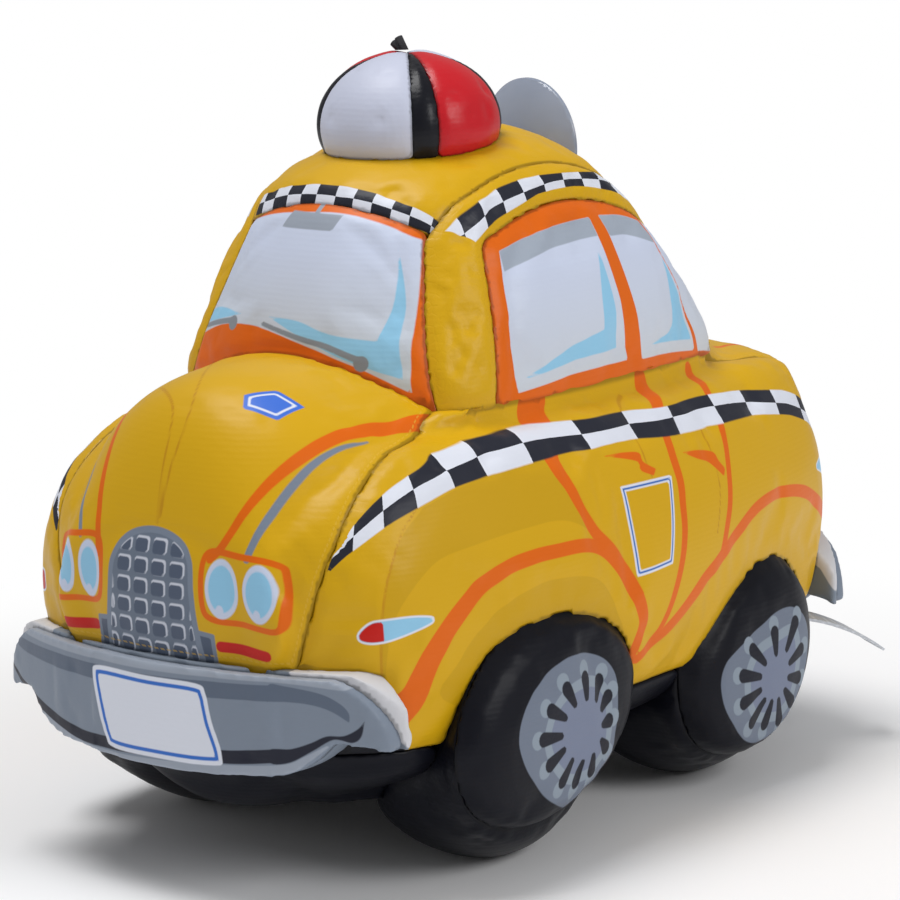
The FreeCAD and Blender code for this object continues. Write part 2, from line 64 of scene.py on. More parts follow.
YELLOW: Colour = (0.67, 0.385, 0.006)
YELLOW_SHADE: Colour = (0.60, 0.345, 0.005)
YELLOW_LINE: Colour = (0.56, 0.275, 0.006)
ORANGE: Colour = (0.75, 0.135, 0.003)
BLACK: Colour = (0.005, 0.0055, 0.010)
SOFT_WHITE: Colour = (0.74, 0.77, 0.86)
GLASS: Colour = (0.60, 0.66, 0.82)
GLASS_LOW: Colour = (0.56, 0.60, 0.63)
SKY_BLUE: Colour = (0.29, 0.58, 0.80)
SLATE: Colour = (0.085, 0.110, 0.165)
PRINT_GREY: Colour = (0.20, 0.24, 0.31)
PALE_GREY: Colour = (0.33, 0.37, 0.44)
WIPER_GREY: Colour = (0.25, 0.275, 0.31)
BADGE_BLUE: Colour = (0.055, 0.17, 0.68)
LINE_BLUE: Colour = (0.03, 0.14, 0.50)
SIGNAL_RED: Colour = (0.56, 0.012, 0.008)


class Plane(Enum):
    """Flat coordinates, in millimetres, in which a panel's print is drawn."""

    HOOD = "hood"
    TRUNK = "trunk"
    FRONT = "front"
    SIDE = "side"
    FLANK = "flank"
    CROWN = "crown"

    def of(self, rows: np.ndarray) -> np.ndarray:
        """The print's coordinates of some points of the car.

        Args:
            rows: points in metres, in the row frame.

        Returns:
            One pair of millimetres for each point.
        """
        x, y, z = rows.T * 1000.0
        if self is Plane.HOOD:
            return np.column_stack((x, 60.0 * np.arctan2(z - 88.0, -(y + 82.0))))
        if self is Plane.TRUNK:
            return np.column_stack((x, 60.0 * np.arctan2(z - 70.0, y - 80.0)))
        if self is Plane.CROWN:
            return np.column_stack((x, 67.0 * np.arctan2(z - 150.0, -(y + 10.0))))
        if self is Plane.FRONT:
            return np.column_stack((x, z))
        if self is Plane.SIDE:
            return np.column_stack((y, z))
        side = np.abs(x) - 40.0
        ahead = -(90.0 + 45.0 * np.arctan2(-(y + 90.0), side))
        behind = 95.0 + 45.0 * np.arctan2(y - 95.0, side)
        return np.column_stack((np.where(y < -90.0, ahead, np.where(y > 95.0, behind, y)), z))


def smooth_line(points: Points, closed: bool, steps: int = 5) -> tuple[np.ndarray, np.ndarray]:
    """A smooth line through a few points, where a point given twice is a corner.

    Args:
        points: the points, in millimetres.
        closed: whether the last point joins the first.
        steps: how many runs lie between two points.

    Returns:
        The line's points, and at each the place along the given ones.
    """
    rows = np.array(points, dtype=float)
    count = len(rows)
    line, place = [], []
    for i in range(count if closed else count - 1):
        start, stop = rows[i], rows[(i + 1) % count]
        if np.allclose(start, stop):
            continue
        before = rows[i - 1] if closed or i > 0 else start
        after = rows[(i + 2) % count] if closed or i + 2 < count else stop
        leave = (stop - before) * (1.0 if np.allclose(before, start) else 0.5)
        arrive = (after - start) * (1.0 if np.allclose(after, stop) else 0.5)
        for t in np.arange(steps) / steps:
            line.append(
                (2 * t**3 - 3 * t**2 + 1) * start
                + (t**3 - 2 * t**2 + t) * leave
                + (3 * t**2 - 2 * t**3) * stop
                + (t**3 - t**2) * arrive
            )
            place.append(i + t)
    line.append(rows[0] if closed else rows[-1])
    place.append(count if closed else count - 1)
    return np.array(line), np.array(place, dtype=float)


def gap_to(spots: np.ndarray, line: np.ndarray, halves: np.ndarray) -> np.ndarray:
    """Distance of some spots from a line that has a thickness.

    Args:
        spots: the spots, in millimetres.
        line: the line's points.
        halves: half the thickness at each point.

    Returns:
        The distance of each spot, negative within the thickness.
    """
    best = np.full(len(spots), FAR)
    for a, b, start, stop in zip(line, line[1:], halves, halves[1:]):
        run = b - a
        along = np.clip((spots - a) @ run / max(run @ run, 1e-9), 0.0, 1.0)
        aside = spots - a - along[:, None] * run
        best = np.minimum(best, np.hypot(*aside.T) - start - (stop - start) * along)
    return best


class Shape:
    """One printed shape, known by the distance of a spot from its edge."""

    def distance(self, spots: np.ndarray) -> np.ndarray:
        """Distance from the edge in millimetres, negative inside.

        Args:
            spots: pairs of millimetres in the print's plane.

        Returns:
            The distance of each spot, no more than FAR.
        """
        raise NotImplementedError

    def near(self, spots: np.ndarray, points: np.ndarray, margin: float) -> np.ndarray:
        """Numbers of the spots that lie in the box round some points."""
        low, high = points.min(axis=0) - margin, points.max(axis=0) + margin
        return np.flatnonzero(np.all((spots > low) & (spots < high), axis=1))


@dataclass(frozen=True)
class Line(Shape):
    """A smooth printed line.

    Args:
        points: the points it runs through.
        widths: its width, or one width for each point.
    """

    points: Points
    widths: float | tuple[float, ...]

    def distance(self, spots: np.ndarray) -> np.ndarray:
        """Distance from the line's edge, as Shape says."""
        line, place = smooth_line(self.points, closed=False)
        widths = np.broadcast_to(np.asarray(self.widths, dtype=float), (len(self.points),))
        halves = np.interp(place, np.arange(len(self.points)), widths) / 2.0
        result = np.full(len(spots), FAR)
        near = self.near(spots, line, FAR)
        result[near] = gap_to(spots[near], line, halves)
        return result


@dataclass(frozen=True)
class Loop(Shape):
    """A filled area inside a smooth closed outline.

    Args:
        points: the points of its outline; a point given twice is a corner.
    """

    points: Points

    def distance(self, spots: np.ndarray) -> np.ndarray:
        """Distance from the outline, as Shape says."""
        line, _ = smooth_line(self.points, closed=True)
        result = np.full(len(spots), FAR)
        near = self.near(spots, line, FAR)
        close = spots[near]
        inside = np.zeros(len(close), dtype=bool)
        for a, b in zip(line, line[1:]):
            if a[1] == b[1]:
                continue
            crosses = (a[1] > close[:, 1]) != (b[1] > close[:, 1])
            inside ^= crosses & (
                close[:, 0] < a[0] + (close[:, 1] - a[1]) * (b[0] - a[0]) / (b[1] - a[1])
            )
        gap = gap_to(close, line, np.zeros(len(line)))
        result[near] = np.where(inside, -gap, gap)
        return result


@dataclass(frozen=True)
class Spot(Shape):
    """A filled ellipse.

    Args:
        centre: its middle.
        radii: its half width and half height.
    """

    centre: tuple[float, float]
    radii: tuple[float, float]

    def distance(self, spots: np.ndarray) -> np.ndarray:
        """Distance from the ellipse, as Shape says."""
        radii = np.array(self.radii)
        level = np.linalg.norm((spots - np.array(self.centre)) / radii, axis=1)
        return np.minimum((level - 1.0) * radii.min(), FAR)


@dataclass(frozen=True)
class Shared(Shape):
    """The area that two shapes share.

    Args:
        one: a shape.
        other: the shape that cuts it.
    """

    one: Shape
    other: Shape

    def distance(self, spots: np.ndarray) -> np.ndarray:
        """Distance from the shared area, as Shape says."""
        return np.maximum(self.one.distance(spots), self.other.distance(spots))


@dataclass(frozen=True)
class Cells(Shape):
    """Rounded cells in straight rows, kept inside an outline.

    Args:
        middle: the middle of one cell.
        pitch: distance from cell to cell, across and up.
        halves: half width and half height of a cell.
        frame: the outline.
        inset: how far the cells stay inside it.
        corner: radius of a cell's corners.
    """

    middle: tuple[float, float]
    pitch: tuple[float, float]
    halves: tuple[float, float]
    frame: Shape
    inset: float
    corner: float = 1.0

    def distance(self, spots: np.ndarray) -> np.ndarray:
        """Distance from the nearest cell, as Shape says."""
        pitch = np.array(self.pitch)
        local = (spots - np.array(self.middle) + pitch / 2.0) % pitch - pitch / 2.0
        over = np.abs(local) - np.array(self.halves) + self.corner
        outside = np.linalg.norm(np.maximum(over, 0.0), axis=1)
        cell = outside + np.minimum(over.max(axis=1), 0.0) - self.corner
        return np.maximum(cell, self.frame.distance(spots) + self.inset)


@dataclass(frozen=True)
class Strip:
    """A two-row chequered strip that follows the panel.

    Args:
        low: its lower edge.
        middle: the line between its rows.
        top: its upper edge.
        marks: where its checks end, along the strip.
        start: where it begins, at its lower and at its upper edge.
        stop: where it ends, at its lower and at its upper edge.
    """

    low: Points
    middle: Points
    top: Points
    marks: tuple[float, ...]
    start: tuple[float, float]
    stop: tuple[float, float]

    def lay(self, spots: np.ndarray) -> dict[str, np.ndarray]:
        """Where each spot lies on the strip.

        Args:
            spots: pairs of millimetres in the print's plane.

        Returns:
            The fields strip_along, strip_across and strip_cover.
        """
        along, level = spots.T
        low, middle, top = (
            np.interp(along, *smooth_line(points, closed=False)[0].T)
            for points in (self.low, self.middle, self.top)
        )
        above = (level - middle) / np.maximum(top - middle, 0.5)
        below = (level - middle) / np.maximum(middle - low, 0.5)
        across = np.clip(np.where(level > middle, above, below), -4.0, 4.0)
        turn = np.clip(across, -1.0, 1.0) * 0.5 + 0.5
        start = self.start[0] + (self.start[1] - self.start[0]) * turn
        stop = self.stop[0] + (self.stop[1] - self.stop[0]) * turn
        ends = np.maximum(start - along, along - stop) / 4.0
        return {
            "strip_along": np.interp(along, self.marks, np.arange(len(self.marks), dtype=float)),
            "strip_across": across,
            "strip_cover": np.clip(np.maximum(np.abs(across) - 1.0, ends), -2.0, 2.0),
        }


@dataclass(frozen=True)
class Ink:
    """One printed colour, laid where a field's distance lies between two values.

    Args:
        name: the field of the artwork that it reads.
        colour: its colour, linear.
        high: the largest distance that it covers, in millimetres.
        low: the smallest.
        foot: a second colour at its lower end, or None.
        levels: heights in metres between which it turns from foot to colour.
    """

    name: str
    colour: Colour
    high: float = 0.0
    low: float = -60.0
    foot: Colour | None = None
    levels: tuple[float, float] = (0.0, 1.0)


@dataclass(frozen=True)
class Artwork:
    """Everything printed on one panel.

    Args:
        plane: the coordinates it is drawn in.
        fields: the shapes of each field; a field is the union of its shapes.
        inks: the colours, the lowest first.
        strip: the chequered strip that lies over them, or None.
    """

    plane: Plane
    fields: dict[str, tuple[Shape, ...]] = field(default_factory=dict)
    inks: tuple[Ink, ...] = ()
    strip: Strip | None = None

    def lay(self, mesh: bpy.types.Mesh) -> None:
        """Stores the artwork's distances on a mesh.

        Args:
            mesh: the finished mesh of the panel.
        """
        spots = self.plane.of(points_of(mesh))
        for name, shapes in self.fields.items():
            put_field(mesh, name, np.min([shape.distance(spots) for shape in shapes], axis=0))
        if self.strip:
            for name, values in self.strip.lay(spots).items():
                put_field(mesh, name, values)


def mirrored(points: Points, middle: float) -> Points:
    """The points mirrored across a middle line."""
    return tuple((2.0 * middle - x, level) for x, level in points)


def corners(*points: tuple[float, float]) -> Points:
    """An outline whose points are all corners."""
    return tuple(point for point in points for _ in range(2))


GRILLE = Loop(((-20.3, -26.0), (-20.3, 6.0), (-18.4, 15.6), (-12.5, 21.6), (-3.0, 23.9),
               (6.5, 22.4), (12.4, 17.8), (14.3, 8.0), (14.3, -26.0)))
CELL_MIDDLE = (0.6, 18.2)
CELL_PITCH = (7.1, 5.9)
NEAR_LAMP_FRAME = ((20.0, 20.2), (31.0, 19.9), (42.2, 19.2), (45.0, 15.2), (45.8, 2.0),
                   (43.2, -2.6), (31.0, -1.8), (20.3, -0.9), (16.6, 3.4), (16.4, 15.6))
FAR_LAMP_FRAME = tuple((-23.0 - 0.86 * (x - 16.4), t) for x, t in NEAR_LAMP_FRAME)
ORANGE_CREASE = ((19.7, 17.0), (24.5, 21.7), (29.4, 30.8), (33.7, 40.9), (37.5, 51.7), (40.1, 63.0),
                 (43.2, 76.9), (47.5, 89.9), (50.9, 100.4), (54.0, 108.0))
HOOD_ART = Artwork(
    plane=Plane.HOOD,
    fields={
        "crease": (
            Line(ORANGE_CREASE, (2.4, 2.5, 2.6, 2.8, 3.1, 3.3, 3.6, 3.9, 4.1, 4.2)),
            Line(((-25.0, 14.0), (-25.5, 20.7), (-27.0, 32.0), (-28.8, 43.9), (-30.6, 52.5),
                  (-35.0, 66.0), (-41.0, 82.0), (-48.0, 98.0), (-54.0, 110.0)), 2.3),
        ),
        "moulding": (
            Line(((33.0, 18.5), (36.4, 31.2), (38.6, 41.7), (40.8, 52.9), (42.9, 62.7), (45.7, 73.8)),
                 (2.3, 2.2, 2.0, 1.7, 1.3, 0.5)),
            Line(((-33.1, 18.5), (-36.3, 29.3), (-37.6, 39.4), (-42.0, 48.0), (-46.0, 56.0)),
                 (1.7, 1.7, 1.5, 1.1, 0.5)),
        ),
        "frames": (Loop(NEAR_LAMP_FRAME), Loop(FAR_LAMP_FRAME)),
        "headlamps": (Spot((24.2, 9.0), (5.7, 8.7)), Spot((37.3, 8.8), (5.6, 8.7)),
                      Spot((-29.4, 9.0), (4.8, 8.6)), Spot((-40.6, 8.8), (4.5, 8.5))),
        "glints": tuple(Spot((x, 2.4), (1.4, 1.9)) for x in (23.4, 36.6, -30.2, -41.4)),
        "bars": (Line(((23.0, -8.2), (39.2, -9.6)), 3.4), Line(((-28.0, -8.2), (-41.6, -9.4)), 3.4)),
        "badge": (Loop(corners((14.9, 62.2), (20.4, 68.9), (29.6, 68.6), (27.8, 59.2), (17.7, 58.0))),),
        "contours": (
            Line(((-1.4, 24.4), (-1.7, 36.1), (-2.8, 48.6), (-7.1, 55.6), (-19.7, 62.8)), 0.9),
            Line(((-0.3, 26.9), (1.1, 38.9), (2.4, 50.6), (-2.3, 62.7), (-16.0, 80.0), (-34.0, 99.0)), 0.9),
        ),
        "grille": (GRILLE,),
        "cells": (Cells(CELL_MIDDLE, CELL_PITCH, (2.55, 2.0), GRILLE, 2.3),),
        "highlights": (Cells((CELL_MIDDLE[0] + 0.45, CELL_MIDDLE[1] + 0.45), CELL_PITCH, (2.8, 2.25),
                             GRILLE, 2.0),),
        "tabs": (
            Loop(corners((13.0, -3.4), (21.2, -4.6), (21.2, -26.0), (13.0, -26.0))),
            Loop(corners((-19.0, -3.4), (-26.9, -4.6), (-26.9, -26.0), (-19.0, -26.0))),
        ),
    },
    inks=(
        Ink("contours", YELLOW_LINE),
        Ink("crease", ORANGE),
        Ink("moulding", PRINT_GREY),
        Ink("frames", ORANGE, low=-1.9),
        Ink("headlamps", GLASS),
        Ink("headlamps", SKY_BLUE, high=-1.2),
        Ink("glints", GLASS),
        Ink("bars", SIGNAL_RED),
        Ink("badge", BADGE_BLUE),
        Ink("badge", SOFT_WHITE, high=-1.2, low=-1.9),
        Ink("tabs", PRINT_GREY),
        Ink("tabs", SLATE, high=-1.5),
        Ink("grille", PRINT_GREY),
        Ink("grille", (0.15, 0.185, 0.245), high=-1.9),
        Ink("highlights", (0.60, 0.63, 0.72)),
        Ink("cells", SLATE),
    ),
)

TRUNK_ART = Artwork(
    plane=Plane.TRUNK,
    fields={
        "lid": (Line(((-44.0, 12.0), (-46.0, 28.0), (-42.0, 45.0), (-38.0, 62.0), (-36.0, 80.0)), 2.4),
                Line(((44.0, 12.0), (46.0, 28.0), (42.0, 45.0), (38.0, 62.0), (36.0, 80.0)), 2.4),
                Line(((-44.0, 12.0), (0.0, 9.0), (44.0, 12.0)), 2.4)),
        "tail_lamps": tuple(Spot((x, 22.0), (5.0, 7.5)) for x in (-57.0, 57.0)),
        "handle": (Line(((-9.0, 20.0), (9.0, 20.0)), 3.2),),
    },
    inks=(
        Ink("lid", ORANGE),
        Ink("tail_lamps", ORANGE, high=1.8),
        Ink("tail_lamps", SIGNAL_RED),
        Ink("tail_lamps", (0.75, 0.30, 0.28), high=-3.0),
        Ink("handle", PRINT_GREY),
        Ink("handle", PALE_GREY, high=-0.9),
    ),
)

WINDSCREEN_ART = Artwork(
    plane=Plane.FRONT,
    fields={
        "glass": (Loop(((-44.5, 158.0), (-44.5, 158.0), (-41.0, 176.0), (-33.5, 192.6), (-31.0, 194.2),
                        (-20.0, 196.8), (-7.6, 198.3), (8.2, 198.8), (22.0, 196.2), (34.5, 191.3),
                        (34.5, 191.3), (38.7, 174.0), (43.2, 146.9), (43.2, 146.9), (24.2, 155.0),
                        (-7.2, 163.4), (-28.0, 163.4))),),
        "reflection": (
            Loop(((29.7, 188.8), (29.7, 188.8), (35.5, 174.1), (37.2, 164.0), (40.4, 151.0),
                  (40.4, 151.0), (20.6, 156.9), (4.0, 163.0), (-8.5, 167.5), (-8.5, 167.5),
                  (4.0, 166.9), (15.7, 163.7), (31.4, 162.2), (31.4, 162.2), (32.6, 174.1))),
            Loop(((-51.0, 159.4), (-51.0, 159.4), (-38.1, 166.9), (-21.3, 167.1), (-21.3, 167.1),
                  (-33.2, 164.2))),
        ),
        "mirror": (Loop(corners((-13.3, 193.7), (-10.2, 198.7), (9.8, 198.3), (7.8, 193.6))),
                   Line(((0.0, 198.0), (0.4, 202.0)), 1.8)),
        "wipers": (
            Line(((-10.4, 165.2), (5.4, 162.0), (16.7, 159.7), (27.7, 156.2)), (1.3, 1.6, 1.8, 2.0)),
            Spot((27.6, 155.4), (2.4, 2.4)),
            Line(((-46.6, 159.3), (-35.2, 162.8), (-24.4, 165.0)), (1.3, 1.6, 1.8)),
            Spot((-24.9, 164.0), (2.2, 2.2)),
        ),
    },
    inks=(
        Ink("glass", GLASS, foot=GLASS_LOW, levels=(0.150, 0.188)),
        Ink("reflection", SKY_BLUE),
        Ink("mirror", PALE_GREY),
        Ink("wipers", WIPER_GREY),
    ),
)

REAR_WINDOW_ART = Artwork(
    plane=Plane.FRONT,
    fields={
        "glass": (Loop(((-42.0, 152.0), (-42.0, 152.0), (-38.0, 172.0), (-32.0, 190.0), (-28.0, 193.5),
                        (0.0, 196.5), (28.0, 193.5), (32.0, 190.0), (38.0, 172.0), (42.0, 152.0),
                        (42.0, 152.0), (0.0, 156.0))),),
        "reflection": (Loop(((-30.0, 186.0), (-30.0, 186.0), (-35.0, 172.0), (-38.5, 156.0),
                             (-38.5, 156.0), (-18.0, 159.5), (8.0, 161.0), (8.0, 161.0), (-12.0, 163.5),
                             (-30.0, 165.5), (-30.0, 165.5), (-31.5, 175.0))),),
    },
    inks=(
        Ink("glass", GLASS, foot=GLASS_LOW, levels=(0.150, 0.188)),
        Ink("reflection", SKY_BLUE),
    ),
)

SIDE_WINDOW_ART = Artwork(
    plane=Plane.SIDE,
    fields={
        "glass": (
            Loop(((-37.7, 186.5), (-37.7, 186.5), (-15.0, 190.6), (9.4, 191.8), (9.4, 191.8),
                  (12.4, 168.0), (14.2, 146.1), (14.2, 146.1), (-14.0, 146.0), (-42.5, 143.6),
                  (-42.5, 143.6), (-41.6, 165.0))),
            Loop(((15.2, 191.8), (15.2, 191.8), (29.0, 190.2), (41.0, 186.8), (41.0, 186.8),
                  (47.5, 172.5), (52.6, 160.0), (57.6, 142.8), (57.6, 142.8), (40.0, 144.6),
                  (22.0, 145.2), (22.0, 145.2), (19.5, 168.0))),
            Loop(((43.0, 185.6), (43.0, 185.6), (46.2, 177.2), (50.6, 167.0), (55.4, 154.9),
                  (60.6, 142.0), (60.6, 142.0), (80.0, 142.0), (70.0, 172.0), (48.0, 190.0))),
        ),
        "blind": (
            Loop(((-37.7, 186.5), (-37.7, 186.5), (-15.0, 190.6), (9.4, 191.8), (9.4, 191.8),
                  (10.0, 186.0), (10.0, 186.0), (-16.8, 184.7), (-37.9, 180.2), (-37.9, 180.2))),
            Loop(((15.2, 191.8), (15.2, 191.8), (29.0, 190.2), (41.0, 186.8), (41.0, 186.8),
                  (44.4, 179.6), (44.4, 179.6), (28.0, 184.2), (16.4, 185.2), (16.4, 185.2))),
        ),
        "reflection": (
            Loop(((7.7, 182.6), (7.7, 182.6), (9.0, 168.0), (8.7, 150.7), (8.7, 150.7), (-14.0, 150.2),
                  (-38.9, 147.4), (-38.9, 147.4), (-19.4, 154.0), (0.9, 157.8), (0.9, 157.8),
                  (3.5, 169.7))),
            Loop(((45.8, 175.4), (45.8, 175.4), (51.0, 161.0), (55.2, 146.8), (55.2, 146.8),
                  (40.0, 148.4), (27.8, 148.9), (27.8, 148.9), (40.1, 152.0), (43.7, 158.0),
                  (43.7, 158.0), (45.2, 166.0))),
        ),
    },
    inks=(
        Ink("glass", GLASS, foot=(0.60, 0.64, 0.70), levels=(0.145, 0.180)),
        Ink("blind", (0.36, 0.41, 0.49)),
        Ink("reflection", SKY_BLUE),
    ),
)

ROOF_ART = Artwork(
    plane=Plane.CROWN,
    strip=Strip(
        low=((-36.0, 53.0), (-30.0, 52.2), (-16.0, 51.8), (0.0, 51.6), (16.0, 51.6), (36.0, 51.8)),
        middle=((-36.0, 56.6), (-30.0, 55.8), (-16.0, 55.0), (0.0, 54.6), (16.0, 54.6), (36.0, 54.4)),
        top=((-36.0, 60.0), (-30.0, 59.0), (-16.0, 58.4), (0.0, 57.8), (16.0, 57.9), (36.0, 57.0)),
        marks=(-36.0, -29.7, -23.6, -16.4, -10.0, -3.5, 4.0, 10.8, 17.3, 23.7, 29.4, 35.4, 41.0),
        start=(-34.0, -32.0),
        stop=(39.0, 37.0),
    ),
)

CABIN_SIDE_ART = Artwork(
    plane=Plane.SIDE,
    strip=Strip(
        low=((-45.1, 190.0), (-34.5, 195.0), (-20.8, 198.7), (-6.6, 201.3), (12.8, 201.1), (32.7, 197.0),
             (44.0, 192.0), (54.0, 185.0)),
        middle=((-49.1, 191.5), (-40.3, 196.1), (-29.1, 200.2), (-13.4, 202.6), (3.4, 204.0),
                (27.8, 201.4), (44.0, 195.5), (54.0, 189.0)),
        top=((-52.1, 193.1), (-45.7, 198.1), (-36.8, 201.8), (-23.4, 205.1), (-5.4, 206.4), (16.2, 205.2),
             (32.0, 203.0), (44.0, 198.0), (54.0, 192.0)),
        marks=(-60.0, -47.0, -38.0, -28.0, -17.0, -6.0, 5.0, 15.0, 25.0, 34.0, 43.0, 52.0),
        start=(-45.1, -51.5),
        stop=(50.0, 46.0),
    ),
)

SIGN = corners((-19.8, 112.7), (7.2, 112.0), (-0.1, 85.2), (-17.5, 84.0))
MARKER = ((-135.8, 85.6), (-133.0, 88.1), (-129.4, 89.1), (-119.0, 89.2), (-111.6, 88.2),
          (-111.0, 87.0), (-113.9, 86.1), (-121.0, 84.2), (-128.0, 83.0), (-132.6, 82.8), (-135.6, 83.7))
REAR_MARKER = tuple((1.0 - s, z + 9.0) for s, z in MARKER)
FLANK_ART = Artwork(
    plane=Plane.FLANK,
    fields={
        "shade": (Loop(((-129.2, 60.0), (-129.2, 60.0), (-129.2, 83.4), (-127.9, 95.1), (-125.5, 103.5),
                        (-119.6, 113.0), (-108.8, 119.4), (-108.8, 119.4), (-77.1, 124.4),
                        (-48.0, 125.3), (-48.0, 125.3), (-36.0, 101.4), (-36.0, 101.4), (-49.4, 107.3),
                        (-66.9, 107.7), (-88.2, 106.2), (-109.2, 103.0), (-124.3, 90.0),
                        (-128.4, 70.0))),
                  Loop(((-106.0, 62.0), (-98.0, 74.0), (-84.0, 84.0), (-66.0, 90.0), (-48.0, 90.0),
                        (-36.0, 86.0), (-29.0, 76.0), (-25.0, 62.0), (-60.0, 50.0)))),
        "contours": (
            Line(((-129.2, 62.0), (-129.2, 83.4), (-127.9, 95.1), (-125.5, 103.5), (-119.6, 114.0),
                  (-108.8, 121.4)), 0.9),
            Line(((4.3, 136.4), (-2.7, 133.3), (-4.5, 124.4), (-3.0, 113.0)), 0.9),
            Line(((35.6, 130.7), (32.1, 121.7), (33.5, 115.2), (33.0, 104.0), (27.0, 90.0)), 0.9),
        ),
        "door_lines": (
            Line(((-36.0, 142.0), (-39.6, 136.6), (-45.4, 125.3), (-43.0, 116.8), (-39.6, 108.1),
                  (-35.2, 100.9), (-28.4, 94.0), (-22.0, 86.0), (-18.0, 78.0)),
                 (11.0, 10.0, 7.5, 4.6, 4.2, 4.2, 4.4, 4.6, 4.6)),
            Line(((20.0, 140.0), (16.9, 134.8), (12.3, 128.0), (10.8, 118.9), (11.1, 109.4),
                  (9.4, 101.9), (8.1, 94.2), (5.2, 85.1), (1.1, 76.2), (-5.1, 66.0), (-13.6, 58.0)),
                 (6.0, 5.4, 4.6, 4.0, 3.8, 3.4, 3.2, 3.0, 2.8, 2.4, 2.0)),
            Line(((52.0, 138.0), (48.9, 133.3), (46.0, 125.9), (43.8, 116.6), (41.4, 109.0),
                  (37.7, 98.4), (32.9, 89.6), (28.6, 80.6)),
                 (3.8, 3.6, 3.3, 3.0, 3.0, 3.0, 3.0, 3.0)),
        ),
        "arches": (
            Line(((-131.0, 54.0), (-123.7, 61.1), (-118.3, 65.6), (-112.3, 75.4), (-105.4, 82.8),
                  (-97.7, 88.3), (-87.6, 93.6), (-76.5, 97.7), (-65.4, 99.1), (-54.5, 99.1),
                  (-42.9, 98.6), (-34.1, 96.1), (-27.8, 91.3), (-22.2, 83.9), (-17.8, 76.7),
                  (-15.5, 69.8), (-16.8, 63.6), (-19.3, 57.0)),
                 (11.0, 10.0, 9.6, 8.4, 7.2, 6.4, 5.4, 4.8, 4.4, 4.2, 4.2, 4.4, 4.6, 4.8, 5.0, 4.8,
                  4.2, 3.4)),
            Line(((-16.0, 57.0), (-4.8, 62.7), (6.0, 68.7), (17.7, 76.2), (27.3, 80.8), (36.3, 85.6),
                  (46.7, 90.2), (56.9, 93.3), (70.4, 94.4), (84.9, 93.0), (98.0, 89.5), (114.0, 82.8),
                  (135.0, 73.7)),
                 (3.2, 3.8, 4.4, 4.6, 4.6, 4.4, 4.2, 4.0, 4.0, 4.2, 4.6, 5.4, 6.6)),
        ),
        "under_bumper": (Loop(((-175.0, 36.0), (-175.0, 54.0), (-150.0, 54.0), (-134.0, 53.6), (-126.0, 51.0),
                               (-121.5, 48.4), (-119.4, 45.0), (-118.4, 36.0))),),
        "sign": (Loop(SIGN),),
        "markers": (Loop(MARKER), Loop(REAR_MARKER)),
        "marker_ends": (
            Shared(Loop(MARKER),
                   Loop(corners((-144.0, 76.0), (-127.6, 76.0), (-128.6, 95.0), (-144.0, 95.0)))),
            Shared(Loop(REAR_MARKER),
                   Loop(corners((145.0, 85.0), (128.6, 85.0), (129.6, 104.0), (145.0, 104.0)))),
        ),
        "handles": (
            Loop(((-23.8, 122.6), (-23.8, 122.6), (-14.0, 122.2), (-6.2, 121.0), (-5.4, 118.1),
                  (0.1, 115.0), (0.1, 115.0), (-1.9, 113.2), (-1.9, 113.2), (-7.7, 115.7),
                  (-7.6, 118.1), (-12.0, 119.8))),
            Loop(((16.6, 117.4), (16.6, 117.4), (26.0, 116.6), (34.3, 114.6), (36.2, 111.6),
                  (39.0, 108.6), (39.0, 108.6), (37.0, 106.4), (37.0, 106.4), (33.0, 109.8),
                  (29.4, 112.4), (24.0, 114.2))),
        ),
    },
    inks=(
        Ink("shade", YELLOW_SHADE),
        Ink("contours", YELLOW_LINE),
        Ink("door_lines", ORANGE),
        Ink("arches", ORANGE),
        Ink("under_bumper", BLACK),
        Ink("sign", SOFT_WHITE),
        Ink("sign", LINE_BLUE, high=-0.7, low=-1.3),
        Ink("sign", YELLOW, high=-1.8),
        Ink("markers", SOFT_WHITE, high=0.5),
        Ink("markers", SKY_BLUE, high=-0.1),
        Ink("marker_ends", SIGNAL_RED, high=-0.2),
        Ink("handles", ORANGE),
    ),
    strip=Strip(
        low=((-146.0, 102.4), (-145.3, 103.2), (-137.2, 109.8), (-122.1, 117.0), (-96.2, 122.3),
             (-77.1, 124.4), (-55.3, 125.3), (-34.3, 125.4), (-9.1, 125.2), (16.5, 122.7), (43.5, 121.8),
             (75.7, 119.8), (111.4, 112.6), (132.0, 105.0)),
        middle=((-146.0, 105.6), (-144.6, 107.2), (-137.5, 113.7), (-125.8, 120.4), (-110.0, 125.0),
                (-88.8, 128.2), (-72.5, 130.2), (-52.2, 131.1), (-29.5, 129.8), (-5.2, 129.2),
                (17.0, 127.9), (50.1, 126.9), (78.2, 123.3), (110.0, 116.9), (132.0, 109.5)),
        top=((-146.0, 107.5), (-141.7, 110.5), (-137.6, 116.6), (-127.6, 123.5), (-111.3, 128.2),
             (-89.5, 132.6), (-73.0, 134.4), (-51.6, 134.8), (-31.1, 133.9), (-3.4, 132.8),
             (19.0, 131.2), (46.3, 130.6), (77.2, 127.4), (109.4, 121.8), (132.0, 114.0)),
        marks=(-150.0, -137.5, -126.8, -111.5, -89.2, -75.0, -54.5, -28.0, -3.0, 20.0, 47.0, 69.0, 87.0,
               111.0, 132.0),
        start=(-146.0, -143.0),
        stop=(131.0, 127.0),
    ),
)

